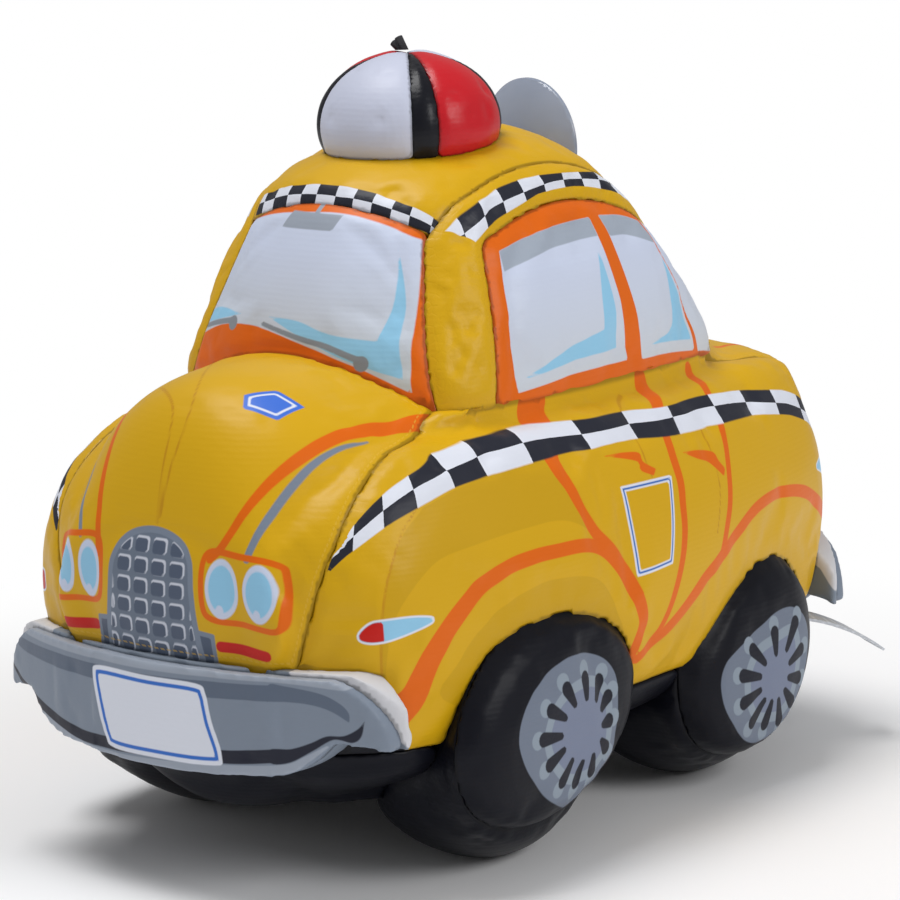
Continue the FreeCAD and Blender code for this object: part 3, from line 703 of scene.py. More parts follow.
BUMPER_ART = Artwork(
    plane=Plane.FRONT,
    fields={
        "upper_stripe": (
            Line(((-78.0, 70.0), (-64.0, 67.6), (-42.0, 67.0), (-10.0, 67.0), (29.0, 68.0), (46.0, 68.7)),
                 (1.5, 3.8, 4.6, 4.8, 4.9, 4.8)),
            Loop(((42.0, 71.1), (46.7, 71.1), (56.6, 69.7), (62.3, 67.4), (65.4, 64.4), (65.7, 61.2),
                  (65.7, 61.2), (60.3, 64.5), (52.9, 66.2), (42.4, 66.3), (42.0, 66.3))),
        ),
        "lower_stripe": (
            Line(((-76.0, 60.0), (-60.0, 52.5), (-38.0, 46.6), (-23.0, 45.4), (0.0, 46.4), (28.8, 47.9),
                  (44.0, 49.8)), (0.8, 2.6, 3.4, 3.8, 4.0, 4.1, 4.2)),
            Loop(((42.0, 51.6), (48.2, 52.2), (54.2, 54.4), (59.0, 56.8), (63.9, 57.2), (67.7, 59.3),
                  (69.9, 61.8), (69.9, 61.8), (68.6, 56.9), (66.0, 55.2), (61.0, 55.9), (54.9, 52.1),
                  (48.0, 48.1), (42.0, 47.4))),
        ),
        "light_strip": (
            Line(((-60.0, 49.0), (-38.0, 43.4), (-23.0, 41.4), (0.0, 42.0), (28.0, 43.8), (46.0, 45.8),
                  (53.0, 49.4), (59.0, 53.6)), (3.2, 3.2, 3.2, 3.2, 3.2, 3.0, 2.0, 0.6)),
            Line(((-80.0, 76.5), (-60.0, 73.6), (-20.0, 73.2), (25.0, 73.8), (47.0, 74.2),
                  (64.0, 73.0)), 4.6),
        ),
        "plate": (Loop(((-24.8, 66.2), (-21.6, 69.2), (0.0, 69.3), (17.6, 69.1), (21.2, 66.2),
                        (23.6, 57.0), (26.0, 47.6), (23.4, 44.6), (2.0, 44.2), (-16.2, 44.4),
                        (-19.8, 47.4), (-22.4, 57.0))),),
    },
    inks=(
        Ink("light_strip", PALE_GREY),
        Ink("upper_stripe", (0.115, 0.145, 0.20)),
        Ink("lower_stripe", (0.016, 0.018, 0.032)),
        Ink("plate", SOFT_WHITE),
        Ink("plate", (0.035, 0.16, 0.58), high=-1.4, low=-2.6),
    ),
)
BUMPER_BACK_ART = Artwork(
    plane=Plane.FRONT,
    fields={
        "middle": (
            Loop(((-46.0, 90.0), (42.0, 90.0), (46.0, 74.0), (60.0, 64.0), (74.0, 57.0), (74.0, 30.0),
                  (-74.0, 30.0), (-74.0, 57.0), (-60.0, 64.0), (-50.0, 74.0))),
        ),
    },
    inks=(Ink("middle", (0.22, 0.26, 0.32)),),
)


SLOT_WIDTHS: Pair = (2.4, 4.8)
SLOT_ENDS: Pair = (0.8, 1.6)
KNOB_SIZE: Pair = (2.9, 2.9)
KNOB_BEYOND = 1.2
RING_SCALE = 1.24
RING_WIDTH = 3.4


def spread(slots: Points, middle: Pair, outer: float, inner: float) -> tuple[tuple[Pair, Pair], ...]:
    """The two ends of each slot of a wheel from the slots' middles.

    Args:
        slots: the middle of each slot.
        middle: the middle of the wheel.
        outer: how far out the outer ends lie, as a share of the middles' distance.
        inner: the same of the inner ends.

    Returns:
        The outer and inner end of each slot.
    """
    return tuple(
        tuple((middle[0] + share * (y - middle[0]), middle[1] + share * (z - middle[1]))
              for share in (outer, inner))
        for y, z in slots
    )


def wheel_art(outline: Points, slots: tuple[tuple[Pair, Pair], ...]) -> Artwork:
    """The printed disc of a wheel face.

    Args:
        outline: the disc's outline.
        slots: the outer and inner end of each slot.

    Returns:
        The artwork.
    """
    lines, knobs = [], []
    for outer, inner in slots:
        way = np.subtract(outer, inner)
        way /= np.linalg.norm(way)
        ends = (tuple(inner + way * SLOT_ENDS[0]), tuple(outer - way * SLOT_ENDS[1]))
        lines.append(Line(ends, SLOT_WIDTHS))
        knobs.append(Spot(tuple(outer + way * KNOB_BEYOND), KNOB_SIZE))
    centres = [np.add(outer, inner) / 2.0 for outer, inner in slots]
    middle = np.mean(centres, axis=0)
    ring = tuple(tuple(middle + (centre - middle) * RING_SCALE) for centre in centres)
    return Artwork(
        plane=Plane.SIDE,
        fields={"disc": (Loop(outline),), "ring": (Loop(ring),), "slots": tuple(lines),
                "knobs": tuple(knobs)},
        inks=(
            Ink("disc", (0.165, 0.195, 0.255)),
            Ink("ring", (0.26, 0.31, 0.37)),
            Ink("ring", (0.185, 0.215, 0.305), high=-RING_WIDTH),
            Ink("knobs", (0.26, 0.31, 0.37)),
            Ink("slots", (0.010, 0.011, 0.020)),
        ),
    )


FRONT_WHEEL_ART = wheel_art(
    ((-48.0, 66.4), (-40.6, 63.5), (-35.9, 59.4), (-33.6, 54.6), (-33.2, 48.0), (-33.6, 41.0),
     (-35.4, 33.6), (-39.0, 27.0), (-44.5, 21.6), (-51.0, 19.0), (-57.5, 19.2), (-68.5, 24.4),
     (-75.0, 29.9), (-80.7, 36.0), (-84.1, 42.4), (-85.1, 47.7), (-83.2, 53.6), (-78.4, 59.2),
     (-71.1, 63.9), (-61.9, 67.0), (-55.4, 67.4)),
    (((-50.7, 60.8), (-50.9, 52.4)), ((-41.4, 57.8), (-45.4, 50.6)), ((-36.9, 51.5), (-42.6, 47.0)),
     ((-36.6, 43.2), (-42.6, 42.4)), ((-39.4, 33.8), (-43.6, 38.2)), ((-47.2, 27.5), (-47.6, 34.7)),
     ((-55.7, 25.8), (-52.9, 33.9)), ((-64.2, 28.3), (-58.1, 35.6)), ((-71.9, 35.9), (-62.5, 39.8)),
     ((-75.2, 45.3), (-63.7, 44.1)), ((-71.0, 54.0), (-61.6, 49.0)), ((-62.0, 59.5), (-56.8, 51.8))),
)
REAR_WHEEL_ART = wheel_art(
    ((26.3, 39.9), (28.9, 45.9), (34.1, 49.2), (49.5, 54.8), (58.7, 57.6), (69.1, 57.3), (77.0, 52.0),
     (79.0, 44.0), (76.0, 33.0), (69.0, 23.5), (59.0, 17.0), (49.0, 15.5), (40.0, 18.0), (33.6, 23.8),
     (27.7, 31.8)),
    spread(((66.7, 48.1), (56.7, 47.8), (46.9, 45.2), (42.2, 39.5), (42.1, 32.6), (46.1, 26.7),
            (52.6, 24.6), (59.3, 24.1), (65.2, 27.6), (68.4, 33.4), (69.4, 40.6)),
           middle=(57.0, 36.0), outer=1.42, inner=0.62),
)


class Seam(Enum):
    """How a panel's edge is drawn in by its stitches: depth and reach in metres."""

    BODY = (0.0011, 0.0020)
    FINE = (0.0005, 0.0012)
    LAMP = (0.0009, 0.0016)


@dataclass(frozen=True)
class Stuffing:
    """How a padded skin swells over its filling.

    Args:
        voxel: edge of the voxels that rebuild the panel, in metres.
        swell: the most that the cloth may move out, in metres.
        pucker: height of the folds beside the seams, in metres.
        lump: height of the long uneven waves of the filling, in metres.
        fill: how full the piece is, 0 to 1; not used.
    """

    voxel: float = 0.0020
    swell: float = 0.0016
    pucker: float = 0.00022
    lump: float = 0.0005
    fill: float = 0.85


WALL_GAP = 0.0005
WALL_CLEARANCE = 0.00008
SHARP = 0.55
SEAM_STEP = 0.0003
HULL_VOXEL = 0.003
SKIN_DEPTH = 0.0035
FOLDS_A_METRE = (210.0, 430.0)
WAVES_A_METRE = 22.0
FOLD_REACH = 2.4
FOLD_START = 0.002
WAVE_START = 0.008


@dataclass(frozen=True)
class Snapping:
    """How near a rebuilt panel's vertices come to be set on its seams, in voxels.

    Args:
        touched: within this distance of a neighbour a vertex is looked at.
        face: within this distance of an outer face it belongs to that face.
        seam: within this distance of a seam it is set on it.
        wedge: the same in a sharp wedge, which the voxels blunt.
        wedge_wall: how near a neighbour a vertex in such a wedge lies.
        wall: within this distance of a neighbour it belongs to the wall.
        rounds: rounds of evening out.
    """

    touched: float = 2.0
    face: float = 0.9
    seam: float = 0.95
    wedge: float = 2.6
    wedge_wall: float = 0.75
    wall: float = 0.9
    rounds: int = 3


SNAPPING = Snapping()


@dataclass(frozen=True)
class ClothTest:
    """The coarse cloth that shows how a panel swells.

    Args:
        voxel: edge of its voxels, in metres.
        frames: length of the simulation.
        quality: steps in each frame.
        mass: mass of each vertex, in kilograms.
        pressure: the filling's pressure.
        growth: how much the cloth's rest size grows, less than zero.
        held_edge: cloth this near a seam is pinned, in metres.
        held_depth: cloth this deep in the body is pinned, in metres.
        blend: how many of its vertices move each vertex of the skin.
    """

    voxel: float = 0.004
    frames: int = 20
    quality: int = 3
    mass: float = 0.3
    pressure: float = 4.0
    growth: float = -0.012
    held_edge: float = 0.0022
    held_depth: float = 0.003
    blend: int = 4


CLOTH = ClothTest()
SMALL = Stuffing(voxel=0.0012, swell=0.0008, pucker=0.00008, lump=0.0002)
TYRE = Stuffing(voxel=0.0021, swell=0.0014, pucker=0.00025, lump=0.0009)
PLAIN = Stuffing(voxel=0.0028)
PILLAR = Stuffing(voxel=0.0013)
BACKING = Stuffing(voxel=0.0016, swell=0.0008, pucker=0.00008, lump=0.0002)


def new_object(name: str, mesh: bpy.types.Mesh) -> bpy.types.Object:
    """Links a mesh into the scene at the origin.

    Args:
        name: the piece's name.
        mesh: its mesh, in the row frame.

    Returns:
        The new object.
    """
    piece = bpy.data.objects.new(name, mesh)
    bpy.context.scene.collection.objects.link(piece)
    return piece


def applied(piece: bpy.types.Object) -> None:
    """Applies every modifier of a piece to its mesh.

    Args:
        piece: the object with live modifiers.
    """
    graph = bpy.context.evaluated_depsgraph_get()
    mesh = bpy.data.meshes.new_from_object(piece.evaluated_get(graph))
    piece.modifiers.clear()
    old = piece.data
    piece.data = mesh
    bpy.data.meshes.remove(old)


def points_of(mesh: bpy.types.Mesh) -> np.ndarray:
    """The mesh's vertices as an array of rows."""
    flat = np.empty(len(mesh.vertices) * 3)
    mesh.vertices.foreach_get("co", flat)
    return flat.reshape(-1, 3)


def put_points(mesh: bpy.types.Mesh, rows: np.ndarray) -> None:
    """Writes an array of rows back to the mesh's vertices."""
    mesh.vertices.foreach_set("co", rows.ravel())
    mesh.update()


def put_field(mesh: bpy.types.Mesh, name: str, values: np.ndarray) -> None:
    """Stores one number for each vertex as a named attribute."""
    layer = mesh.attributes.new(name, "FLOAT", "POINT")
    layer.data.foreach_set("value", values.astype(np.float32))


def smooth_shaded(mesh: bpy.types.Mesh) -> None:
    """Shades every face of a mesh smooth."""
    mesh.polygons.foreach_set("use_smooth", [True] * len(mesh.polygons))


def welded_copy(nodes: list[str]) -> bpy.types.Mesh:
    """One merged mesh of some CAD nodes, in the row frame.

    Args:
        nodes: names of the CAD nodes.

    Returns:
        A new mesh whose doubled vertices are joined.
    """
    form = bmesh.new()
    for node in nodes:
        solid = frame["nodes"][node]
        part = solid.data.copy()
        part.transform(solid.matrix_world)
        form.from_mesh(part)
        bpy.data.meshes.remove(part)
    bmesh.ops.remove_doubles(form, verts=form.verts, dist=0.00002)
    mesh = bpy.data.meshes.new("copy")
    form.to_mesh(mesh)
    form.free()
    return mesh


def neighbour_sums(rows: np.ndarray, ends: np.ndarray) -> tuple[np.ndarray, np.ndarray]:
    """Adds up each vertex's neighbours along some edges.

    Args:
        rows: the vertices.
        ends: the two vertices of each edge.

    Returns:
        The sum of each vertex's neighbours, and how many they are.
    """
    total = np.zeros_like(rows)
    count = np.zeros(len(rows))
    for one, other in ((0, 1), (1, 0)):
        np.add.at(total, ends[:, one], rows[ends[:, other]])
        np.add.at(count, ends[:, one], 1.0)
    return total, count


def tree_of(mesh: bpy.types.Mesh) -> BVHTree:
    """A search tree of a mesh's faces."""
    faces = [tuple(face.vertices) for face in mesh.polygons]
    return BVHTree.FromPolygons([v.co for v in mesh.vertices], faces)


def remeshed(piece: bpy.types.Object, voxel: float) -> None:
    """Rebuilds a closed piece from even voxels."""
    remesh = piece.modifiers.new("Remesh", "REMESH")
    remesh.mode = "VOXEL"
    remesh.voxel_size = voxel
    applied(piece)


class Body:
    """The whole stuffed body, as its panels need to know it."""

    def __init__(self, nodes: list[str]) -> None:
        """Builds the closed hull of the stuffed nodes.

        Args:
            nodes: every CAD node that a padded skin stands for.
        """
        self.boxes = {node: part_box(node) for node in nodes}
        hull = new_object("hull", welded_copy(nodes))
        remeshed(hull, HULL_VOXEL)
        relax = hull.modifiers.new("Relax", "SMOOTH")
        relax.factor = 0.5
        relax.iterations = 4
        applied(hull)
        self.hull = tree_of(hull.data)
        self.normals = [vertex.normal.copy() for vertex in hull.data.vertices]
        self.points = KDTree(len(self.normals))
        for vertex in hull.data.vertices:
            self.points.insert(vertex.co, vertex.index)
        self.points.balance()
        bpy.data.objects.remove(hull)

    def outward(self, row: np.ndarray, reach: float = 0.009) -> Vector:
        """The smoothed way out of the body near a point.

        Args:
            row: the point.
            reach: how far off the hull's normals still count, in metres.

        Returns:
            A direction of length one.
        """
        _, number, away = self.points.find(row)
        total = self.normals[number] * 0.001
        for _, number, distance in self.points.find_range(row, away + reach):
            total += self.normals[number] * (1.0 - (distance / (away + reach)) ** 2) ** 2
        return total.normalized()

    def neighbours(self, node: str, margin: float = 0.012) -> BVHTree:
        """A search tree of the nodes whose boxes come near one node's box.

        Args:
            node: the CAD node in the middle.
            margin: how near they come, in metres.

        Returns:
            The tree of their faces.
        """
        low, high = self.boxes[node]
        near = [
            other
            for other, (below, above) in self.boxes.items()
            if other != node
            and all(below[i] < high[i] + margin and above[i] > low[i] - margin for i in range(3))
        ]
        mesh = welded_copy(near)
        tree = tree_of(mesh)
        bpy.data.meshes.remove(mesh)
        return tree


@dataclass
class Skin:
    """One padded panel of the toy, grown from its CAD node.

    Args:
        node: the CAD node that it stands for.
        seam: how its edge is drawn in.
        stuffing: how it swells.
    """

    node: str
    seam: Seam = Seam.BODY
    stuffing: Stuffing = field(default_factory=Stuffing)
    piece: bpy.types.Object = field(init=False, default=None)

    def build(self, body: Body) -> bpy.types.Object:
        """Makes the panel's padded mesh.

        Args:
            body: the whole stuffed body.

        Returns:
            The panel's object.
        """
        around = body.neighbours(self.node)
        self.piece = new_object(self.node + "_skin", welded_copy([self.node]))
        outer, seams = self._edges(around)
        remeshed(self.piece, self.stuffing.voxel)
        self._tighten(around, outer, seams)
        self._measure(body, around)
        self._inflate(body, around)
        self._draw_in()
        put_field(self.piece.data, "seam_gap", self.edge * 1000.0)
        smooth = self.piece.modifiers.new("Subdivision", "SUBSURF")
        smooth.levels = smooth.render_levels = 1
        applied(self.piece)
        smooth_shaded(self.piece.data)
        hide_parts(self.node)
        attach(self.piece, "root")
        log.info("%s: %d faces", self.piece.name, len(self.piece.data.polygons))
        return self.piece

    def _edges(self, around: BVHTree) -> tuple[BVHTree, KDTree]:
        """The panel's outer faces, and points close together along its seams.

        Args:
            around: the neighbouring solids.

        Returns:
            A search tree of the outer faces, and one of the seams' points.
        """
        form = bmesh.new()
        form.from_mesh(self.piece.data)
        form.faces.ensure_lookup_table()
        wall = [
            around.find_nearest(face.calc_center_median(), WALL_GAP)[0] is not None
            for face in form.faces
        ]
        outer = [not hidden for hidden in wall]
        seen = [False] * len(form.faces)
        for first in form.faces:
            if seen[first.index]:
                continue
            patch = [first]
            seen[first.index] = True
            for face in patch:
                for edge in face.edges:
                    if edge.calc_face_angle(0.0) > SHARP:
                        continue
                    for other in edge.link_faces:
                        if not seen[other.index]:
                            seen[other.index] = True
                            patch.append(other)
            whole = sum(face.calc_area() for face in patch)
            covered = sum(face.calc_area() for face in patch if wall[face.index])
            if not 0.3 * whole < covered < 0.7 * whole:
                for face in patch:
                    outer[face.index] = covered < 0.5 * whole
        points = []
        for edge in form.edges:
            if len({outer[face.index] for face in edge.link_faces}) == 2:
                start, stop = (vertex.co for vertex in edge.verts)
                count = max(1, int((stop - start).length / SEAM_STEP))
                points += [start.lerp(stop, i / count) for i in range(count + 1)]
        seams = KDTree(len(points))
        for i, point in enumerate(points):
            seams.insert(point, i)
        seams.balance()
        tree = BVHTree.FromPolygons(
            [vertex.co for vertex in form.verts],
            [[vertex.index for vertex in face.verts] for face in form.faces if outer[face.index]],
        )
        form.free()
        return tree, seams

    def _tighten(self, around: BVHTree, outer: BVHTree, seams: KDTree) -> None:
        """Sets the rebuilt panel's edges on its seams and its walls against their neighbours.

        Args:
            around: the neighbouring solids.
            outer: the panel's outer faces.
            seams: points along its seams.
        """
        voxel = self.stuffing.voxel
        rows = points_of(self.piece.data)
        lip = np.zeros(len(rows), bool)
        face = np.zeros(len(rows), bool)
        for i, row in enumerate(rows):
            wall_spot, _, _, aside = around.find_nearest(row, SNAPPING.touched * voxel)
            if wall_spot is None:
                continue
            on_face = outer.find_nearest(row, SNAPPING.face * voxel)[0] is not None
            seam_spot, _, away = seams.find(row)
            in_wedge = on_face and aside < SNAPPING.wedge_wall * voxel
            reach = SNAPPING.wedge if in_wedge else SNAPPING.seam
            if seam_spot and away < reach * voxel:
                rows[i] = seam_spot
                lip[i] = True
            elif on_face:
                face[i] = True
            elif 1e-7 < aside < SNAPPING.wall * voxel:
                rows[i] = np.array(wall_spot) + (row - np.array(wall_spot)) * (WALL_CLEARANCE / aside)
        ends = np.empty(len(self.piece.data.edges) * 2, int)
        self.piece.data.edges.foreach_get("vertices", ends)
        ends = ends.reshape(-1, 2)
        chain = ends[lip[ends[:, 0]] & lip[ends[:, 1]]]
        for _ in range(SNAPPING.rounds):
            total, count = neighbour_sums(rows, ends)
            rows[face] = 0.5 * rows[face] + 0.5 * (total / count[:, None])[face]
            for i in np.flatnonzero(face):
                rows[i] = outer.find_nearest(rows[i])[0]
            total, count = neighbour_sums(rows, chain)
            even = np.flatnonzero(lip & (count >= 2.0))
            rows[even] = 0.5 * rows[even] + 0.5 * total[even] / count[even, None]
            for i in even:
                rows[i] = seams.find(rows[i])[0]
        put_points(self.piece.data, rows)

    def _measure(self, body: Body, around: BVHTree) -> None:
        """Finds each vertex's nearest seam and the way out of the body.

        Args:
            body: the whole stuffed body.
            around: the neighbouring solids.
        """
        rows = points_of(self.piece.data)
        self.edge = np.empty(len(rows))
        self.seam_point = np.empty_like(rows)
        self.out = np.empty_like(rows)
        self.depth = np.empty(len(rows))
        for i, row in enumerate(rows):
            self.seam_point[i], _, _, self.edge[i] = around.find_nearest(row)
            self.depth[i] = body.hull.find_nearest(row)[3]
            self.out[i] = body.outward(row)

    def _inflate(self, body: Body, around: BVHTree) -> None:
        """Swells the panel as a coarse cloth of it does under the filling's pressure.

        Args:
            body: the whole stuffed body.
            around: the neighbouring solids.
        """
        cloth_piece = new_object("cloth", welded_copy([self.node]))
        remeshed(cloth_piece, CLOTH.voxel)
        rest = points_of(cloth_piece.data)
        pinned = [
            i
            for i, row in enumerate(rest)
            if around.find_nearest(row)[3] < CLOTH.held_edge
            or body.hull.find_nearest(row)[3] > CLOTH.held_depth
        ]
        held = cloth_piece.vertex_groups.new(name="held")
        held.add(pinned, 1.0, "REPLACE")
        cloth = cloth_piece.modifiers.new("Cloth", "CLOTH")
        cloth.settings.quality = CLOTH.quality
        cloth.settings.mass = CLOTH.mass
        cloth.settings.use_pressure = True
        cloth.settings.uniform_pressure_force = CLOTH.pressure
        cloth.settings.effector_weights.gravity = 0.0
        cloth.settings.vertex_group_mass = "held"
        cloth.settings.shrink_min = CLOTH.growth
        cloth.collision_settings.use_collision = False
        cloth.point_cache.frame_start = 1
        cloth.point_cache.frame_end = CLOTH.frames
        for number in range(1, CLOTH.frames + 1):
            bpy.context.scene.frame_set(number)
        applied(cloth_piece)
        bpy.context.scene.frame_set(1)
        moved = points_of(cloth_piece.data) - rest
        bpy.data.objects.remove(cloth_piece)
        length = np.linalg.norm(moved, axis=1, keepdims=True)
        moved *= np.minimum(1.0, self.stuffing.swell / np.maximum(length, 1e-9))
        tree = KDTree(len(rest))
        for i, row in enumerate(rest):
            tree.insert(row, i)
        tree.balance()
        rows = points_of(self.piece.data)
        for i, row in enumerate(rows):
            found = tree.find_n(row, CLOTH.blend)
            weights = np.array([1.0 / (distance + 0.0004) ** 2 for _, _, distance in found])
            near = moved[[number for _, number, _ in found]]
            rows[i] = row + (weights[:, None] * near).sum(axis=0) / weights.sum()
        put_points(self.piece.data, rows)

    def _draw_in(self) -> None:
        """Draws the panel in at its seams, with folds beside them and uneven filling."""
        rows = points_of(self.piece.data)
        depth, reach = self.seam.value
        under = np.clip(1.0 - self.depth / SKIN_DEPTH, 0.0, 1.0)
        fold = np.empty(len(rows))
        wave = np.empty(len(rows))
        for i, (row, spot) in enumerate(zip(rows, self.seam_point)):
            large, small = (noise.noise(Vector(spot) * pitch) for pitch in FOLDS_A_METRE)
            fold[i] = large + 0.5 * small
            wave[i] = noise.noise(Vector(row) * WAVES_A_METRE)
        near = np.exp(-(self.edge / reach) ** 2)
        begun = 1.0 - np.exp(-(self.edge / FOLD_START) ** 2)
        ripple = np.exp(-self.edge / (FOLD_REACH * reach)) * begun
        away = 1.0 - np.exp(-(self.edge / WAVE_START) ** 2)
        lift = (
            -depth * near
            + self.stuffing.pucker * fold * ripple
            + self.stuffing.lump * wave * away
        )
        put_points(self.piece.data, rows + self.out * (lift * under)[:, None])


def placed(tree: bpy.types.NodeTree, kind: str, inputs: dict | None = None, **settings) -> bpy.types.Node:
    """Adds a shader node.

    Args:
        tree: the node tree.
        kind: the node's type.
        inputs: a socket to link, or a value, for each input by name or number.
        settings: the node's own settings.

    Returns:
        The node.
    """
    made = tree.nodes.new(kind)
    for name, value in settings.items():
        setattr(made, name, value)
    for key, value in (inputs or {}).items():
        if isinstance(value, bpy.types.NodeSocket):
            tree.links.new(value, made.inputs[key])
        else:
            made.inputs[key].default_value = value
    return made


def math_socket(tree: bpy.types.NodeTree, operation: str, *values: SocketInput,
                clamp: bool = False) -> bpy.types.NodeSocket:
    """The result of a math node.

    Args:
        tree: the node tree.
        operation: its operation.
        values: its inputs, numbers or sockets.
        clamp: whether the result stays within 0 and 1.

    Returns:
        Its output socket.
    """
    inputs = dict(enumerate(values))
    return placed(tree, "ShaderNodeMath", inputs, operation=operation, use_clamp=clamp).outputs[0]


def mixed(tree: bpy.types.NodeTree, factor: SocketInput, under: SocketInput, over: SocketInput,
          blend: str = "MIX") -> bpy.types.NodeSocket:
    """The colour output of a mix node.

    Args:
        tree: the node tree.
        factor: how much of the upper colour shows.
        under: the lower colour.
        over: the upper colour.
        blend: how they are mixed.

    Returns:
        Its output socket.
    """
    inputs = {0: factor, 6: under, 7: over}
    return placed(tree, "ShaderNodeMix", inputs, data_type="RGBA", blend_type=blend).outputs[2]


def field_socket(tree: bpy.types.NodeTree, name: str) -> bpy.types.NodeSocket:
    """The value of a named attribute."""
    return placed(tree, "ShaderNodeAttribute", attribute_name=name).outputs["Fac"]


class Effects:
    """Shader node groups that the finishes share."""

    def __init__(self) -> None:
        """Builds each group once."""
        self.print_layer = self._print_layer()
        self.chequer = self._chequer()
        self.graded_ink = self._graded_ink()
        self.vinyl_grain = self._vinyl_grain()
        self.seam_shade_and_tone = self._seam_shade_and_tone()

    @staticmethod
    def _group(name: str, inputs: dict[str, str], outputs: dict[str, str]) -> tuple:
        """A new node group with its sockets.

        Args:
            name: its name.
            inputs: the type of each input.
            outputs: the type of each output.

        Returns:
            The tree, its input node and its output node.
        """
        tree = bpy.data.node_groups.new(name, "ShaderNodeTree")
        for side, sockets in (("INPUT", inputs), ("OUTPUT", outputs)):
            for label, kind in sockets.items():
                tree.interface.new_socket(name=label, in_out=side, socket_type="NodeSocket" + kind)
        return tree, tree.nodes.new("NodeGroupInput").outputs, tree.nodes.new("NodeGroupOutput").inputs

    def _print_layer(self) -> bpy.types.NodeTree:
        """One printed colour laid over another where a distance lies between two values."""
        tree, given, result = self._group(
            "print layer",
            {"Under": "Color", "Ink": "Color", "Distance": "Float", "Low": "Float", "High": "Float"},
            {"Color": "Color"},
        )
        below = math_socket(tree, "SUBTRACT", given["High"], given["Distance"])
        above = math_socket(tree, "SUBTRACT", given["Distance"], given["Low"])
        below = math_socket(tree, "MULTIPLY_ADD", below, 2.5, 0.5, clamp=True)
        above = math_socket(tree, "MULTIPLY_ADD", above, 2.5, 0.5, clamp=True)
        mask = math_socket(tree, "MULTIPLY", below, above)
        tree.links.new(mixed(tree, mask, given["Under"], given["Ink"]), result["Color"])
        return tree

    def _chequer(self) -> bpy.types.NodeTree:
        """A two-row chequered strip."""
        tree, given, result = self._group(
            "chequer",
            {"Under": "Color", "Dark": "Color", "Light": "Color", "Along": "Float", "Across": "Float",
             "Cover": "Float"},
            {"Color": "Color"},
        )
        row = math_socket(tree, "GREATER_THAN", given["Across"], 0.0)
        check = math_socket(tree, "ADD", math_socket(tree, "FLOOR", given["Along"]), row)
        odd = math_socket(tree, "FLOORED_MODULO", check, 2.0)
        strip = mixed(tree, odd, given["Dark"], given["Light"])
        cover = math_socket(tree, "MULTIPLY_ADD", given["Cover"], -10.0, 0.5, clamp=True)
        tree.links.new(mixed(tree, cover, given["Under"], strip), result["Color"])
        return tree

    def _graded_ink(self) -> bpy.types.NodeTree:
        """An ink that turns from one colour to another with height."""
        tree, given, result = self._group(
            "graded ink",
            {"Foot": "Color", "Head": "Color", "Bottom": "Float", "Top": "Float"},
            {"Color": "Color"},
        )
        place = placed(tree, "ShaderNodeTexCoord").outputs["Object"]
        height = placed(tree, "ShaderNodeSeparateXYZ", {0: place}).outputs["Z"]
        ramp = placed(tree, "ShaderNodeMapRange", {"Value": height, "From Min": given["Bottom"],
                                                    "From Max": given["Top"]})
        tree.links.new(mixed(tree, ramp.outputs[0], given["Foot"], given["Head"]), result["Color"])
        return tree

    def _vinyl_grain(self) -> bpy.types.NodeTree:
        """Fine grain, the weave of the backing and creases beside the seams."""
        tree, given, result = self._group(
            "vinyl grain",
            {"Seam": "Float", "Weave": "Float", "Crease": "Float", "Roughness": "Float"},
            {"Height": "Float", "Roughness": "Float"},
        )
        place = placed(tree, "ShaderNodeTexCoord").outputs["Object"]
        fine = placed(tree, "ShaderNodeTexNoise", {"Vector": place, "Scale": 620.0, "Detail": 3.0})
        wave = placed(tree, "ShaderNodeTexWave", {"Vector": place, "Scale": 190.0, "Distortion": 1.2,
                                                   "Detail": 1.0, "Detail Scale": 0.6},
                      bands_direction="Z")
        crack = placed(tree, "ShaderNodeTexVoronoi", {"Vector": place, "Scale": 330.0},
                       feature="DISTANCE_TO_EDGE")
        near = math_socket(tree, "MULTIPLY", given["Seam"], -0.16)
        near = math_socket(tree, "MULTIPLY", math_socket(tree, "EXPONENT", near), given["Crease"])
        crack_height = math_socket(tree, "MULTIPLY", math_socket(
            tree, "MINIMUM", crack.outputs["Distance"], 0.12), 6.0)
        height = math_socket(tree, "MULTIPLY_ADD", crack_height, near, fine.outputs[0])
        height = math_socket(tree, "MULTIPLY_ADD", wave.outputs["Fac"], given["Weave"], height)
        tree.links.new(height, result["Height"])
        patch = placed(tree, "ShaderNodeTexNoise", {"Vector": place, "Scale": 38.0, "Detail": 2.0})
        rough = math_socket(tree, "MULTIPLY_ADD", patch.outputs[0], 0.12, given["Roughness"])
        rough = math_socket(tree, "SUBTRACT", rough, 0.06)
        tree.links.new(rough, result["Roughness"])
        return tree

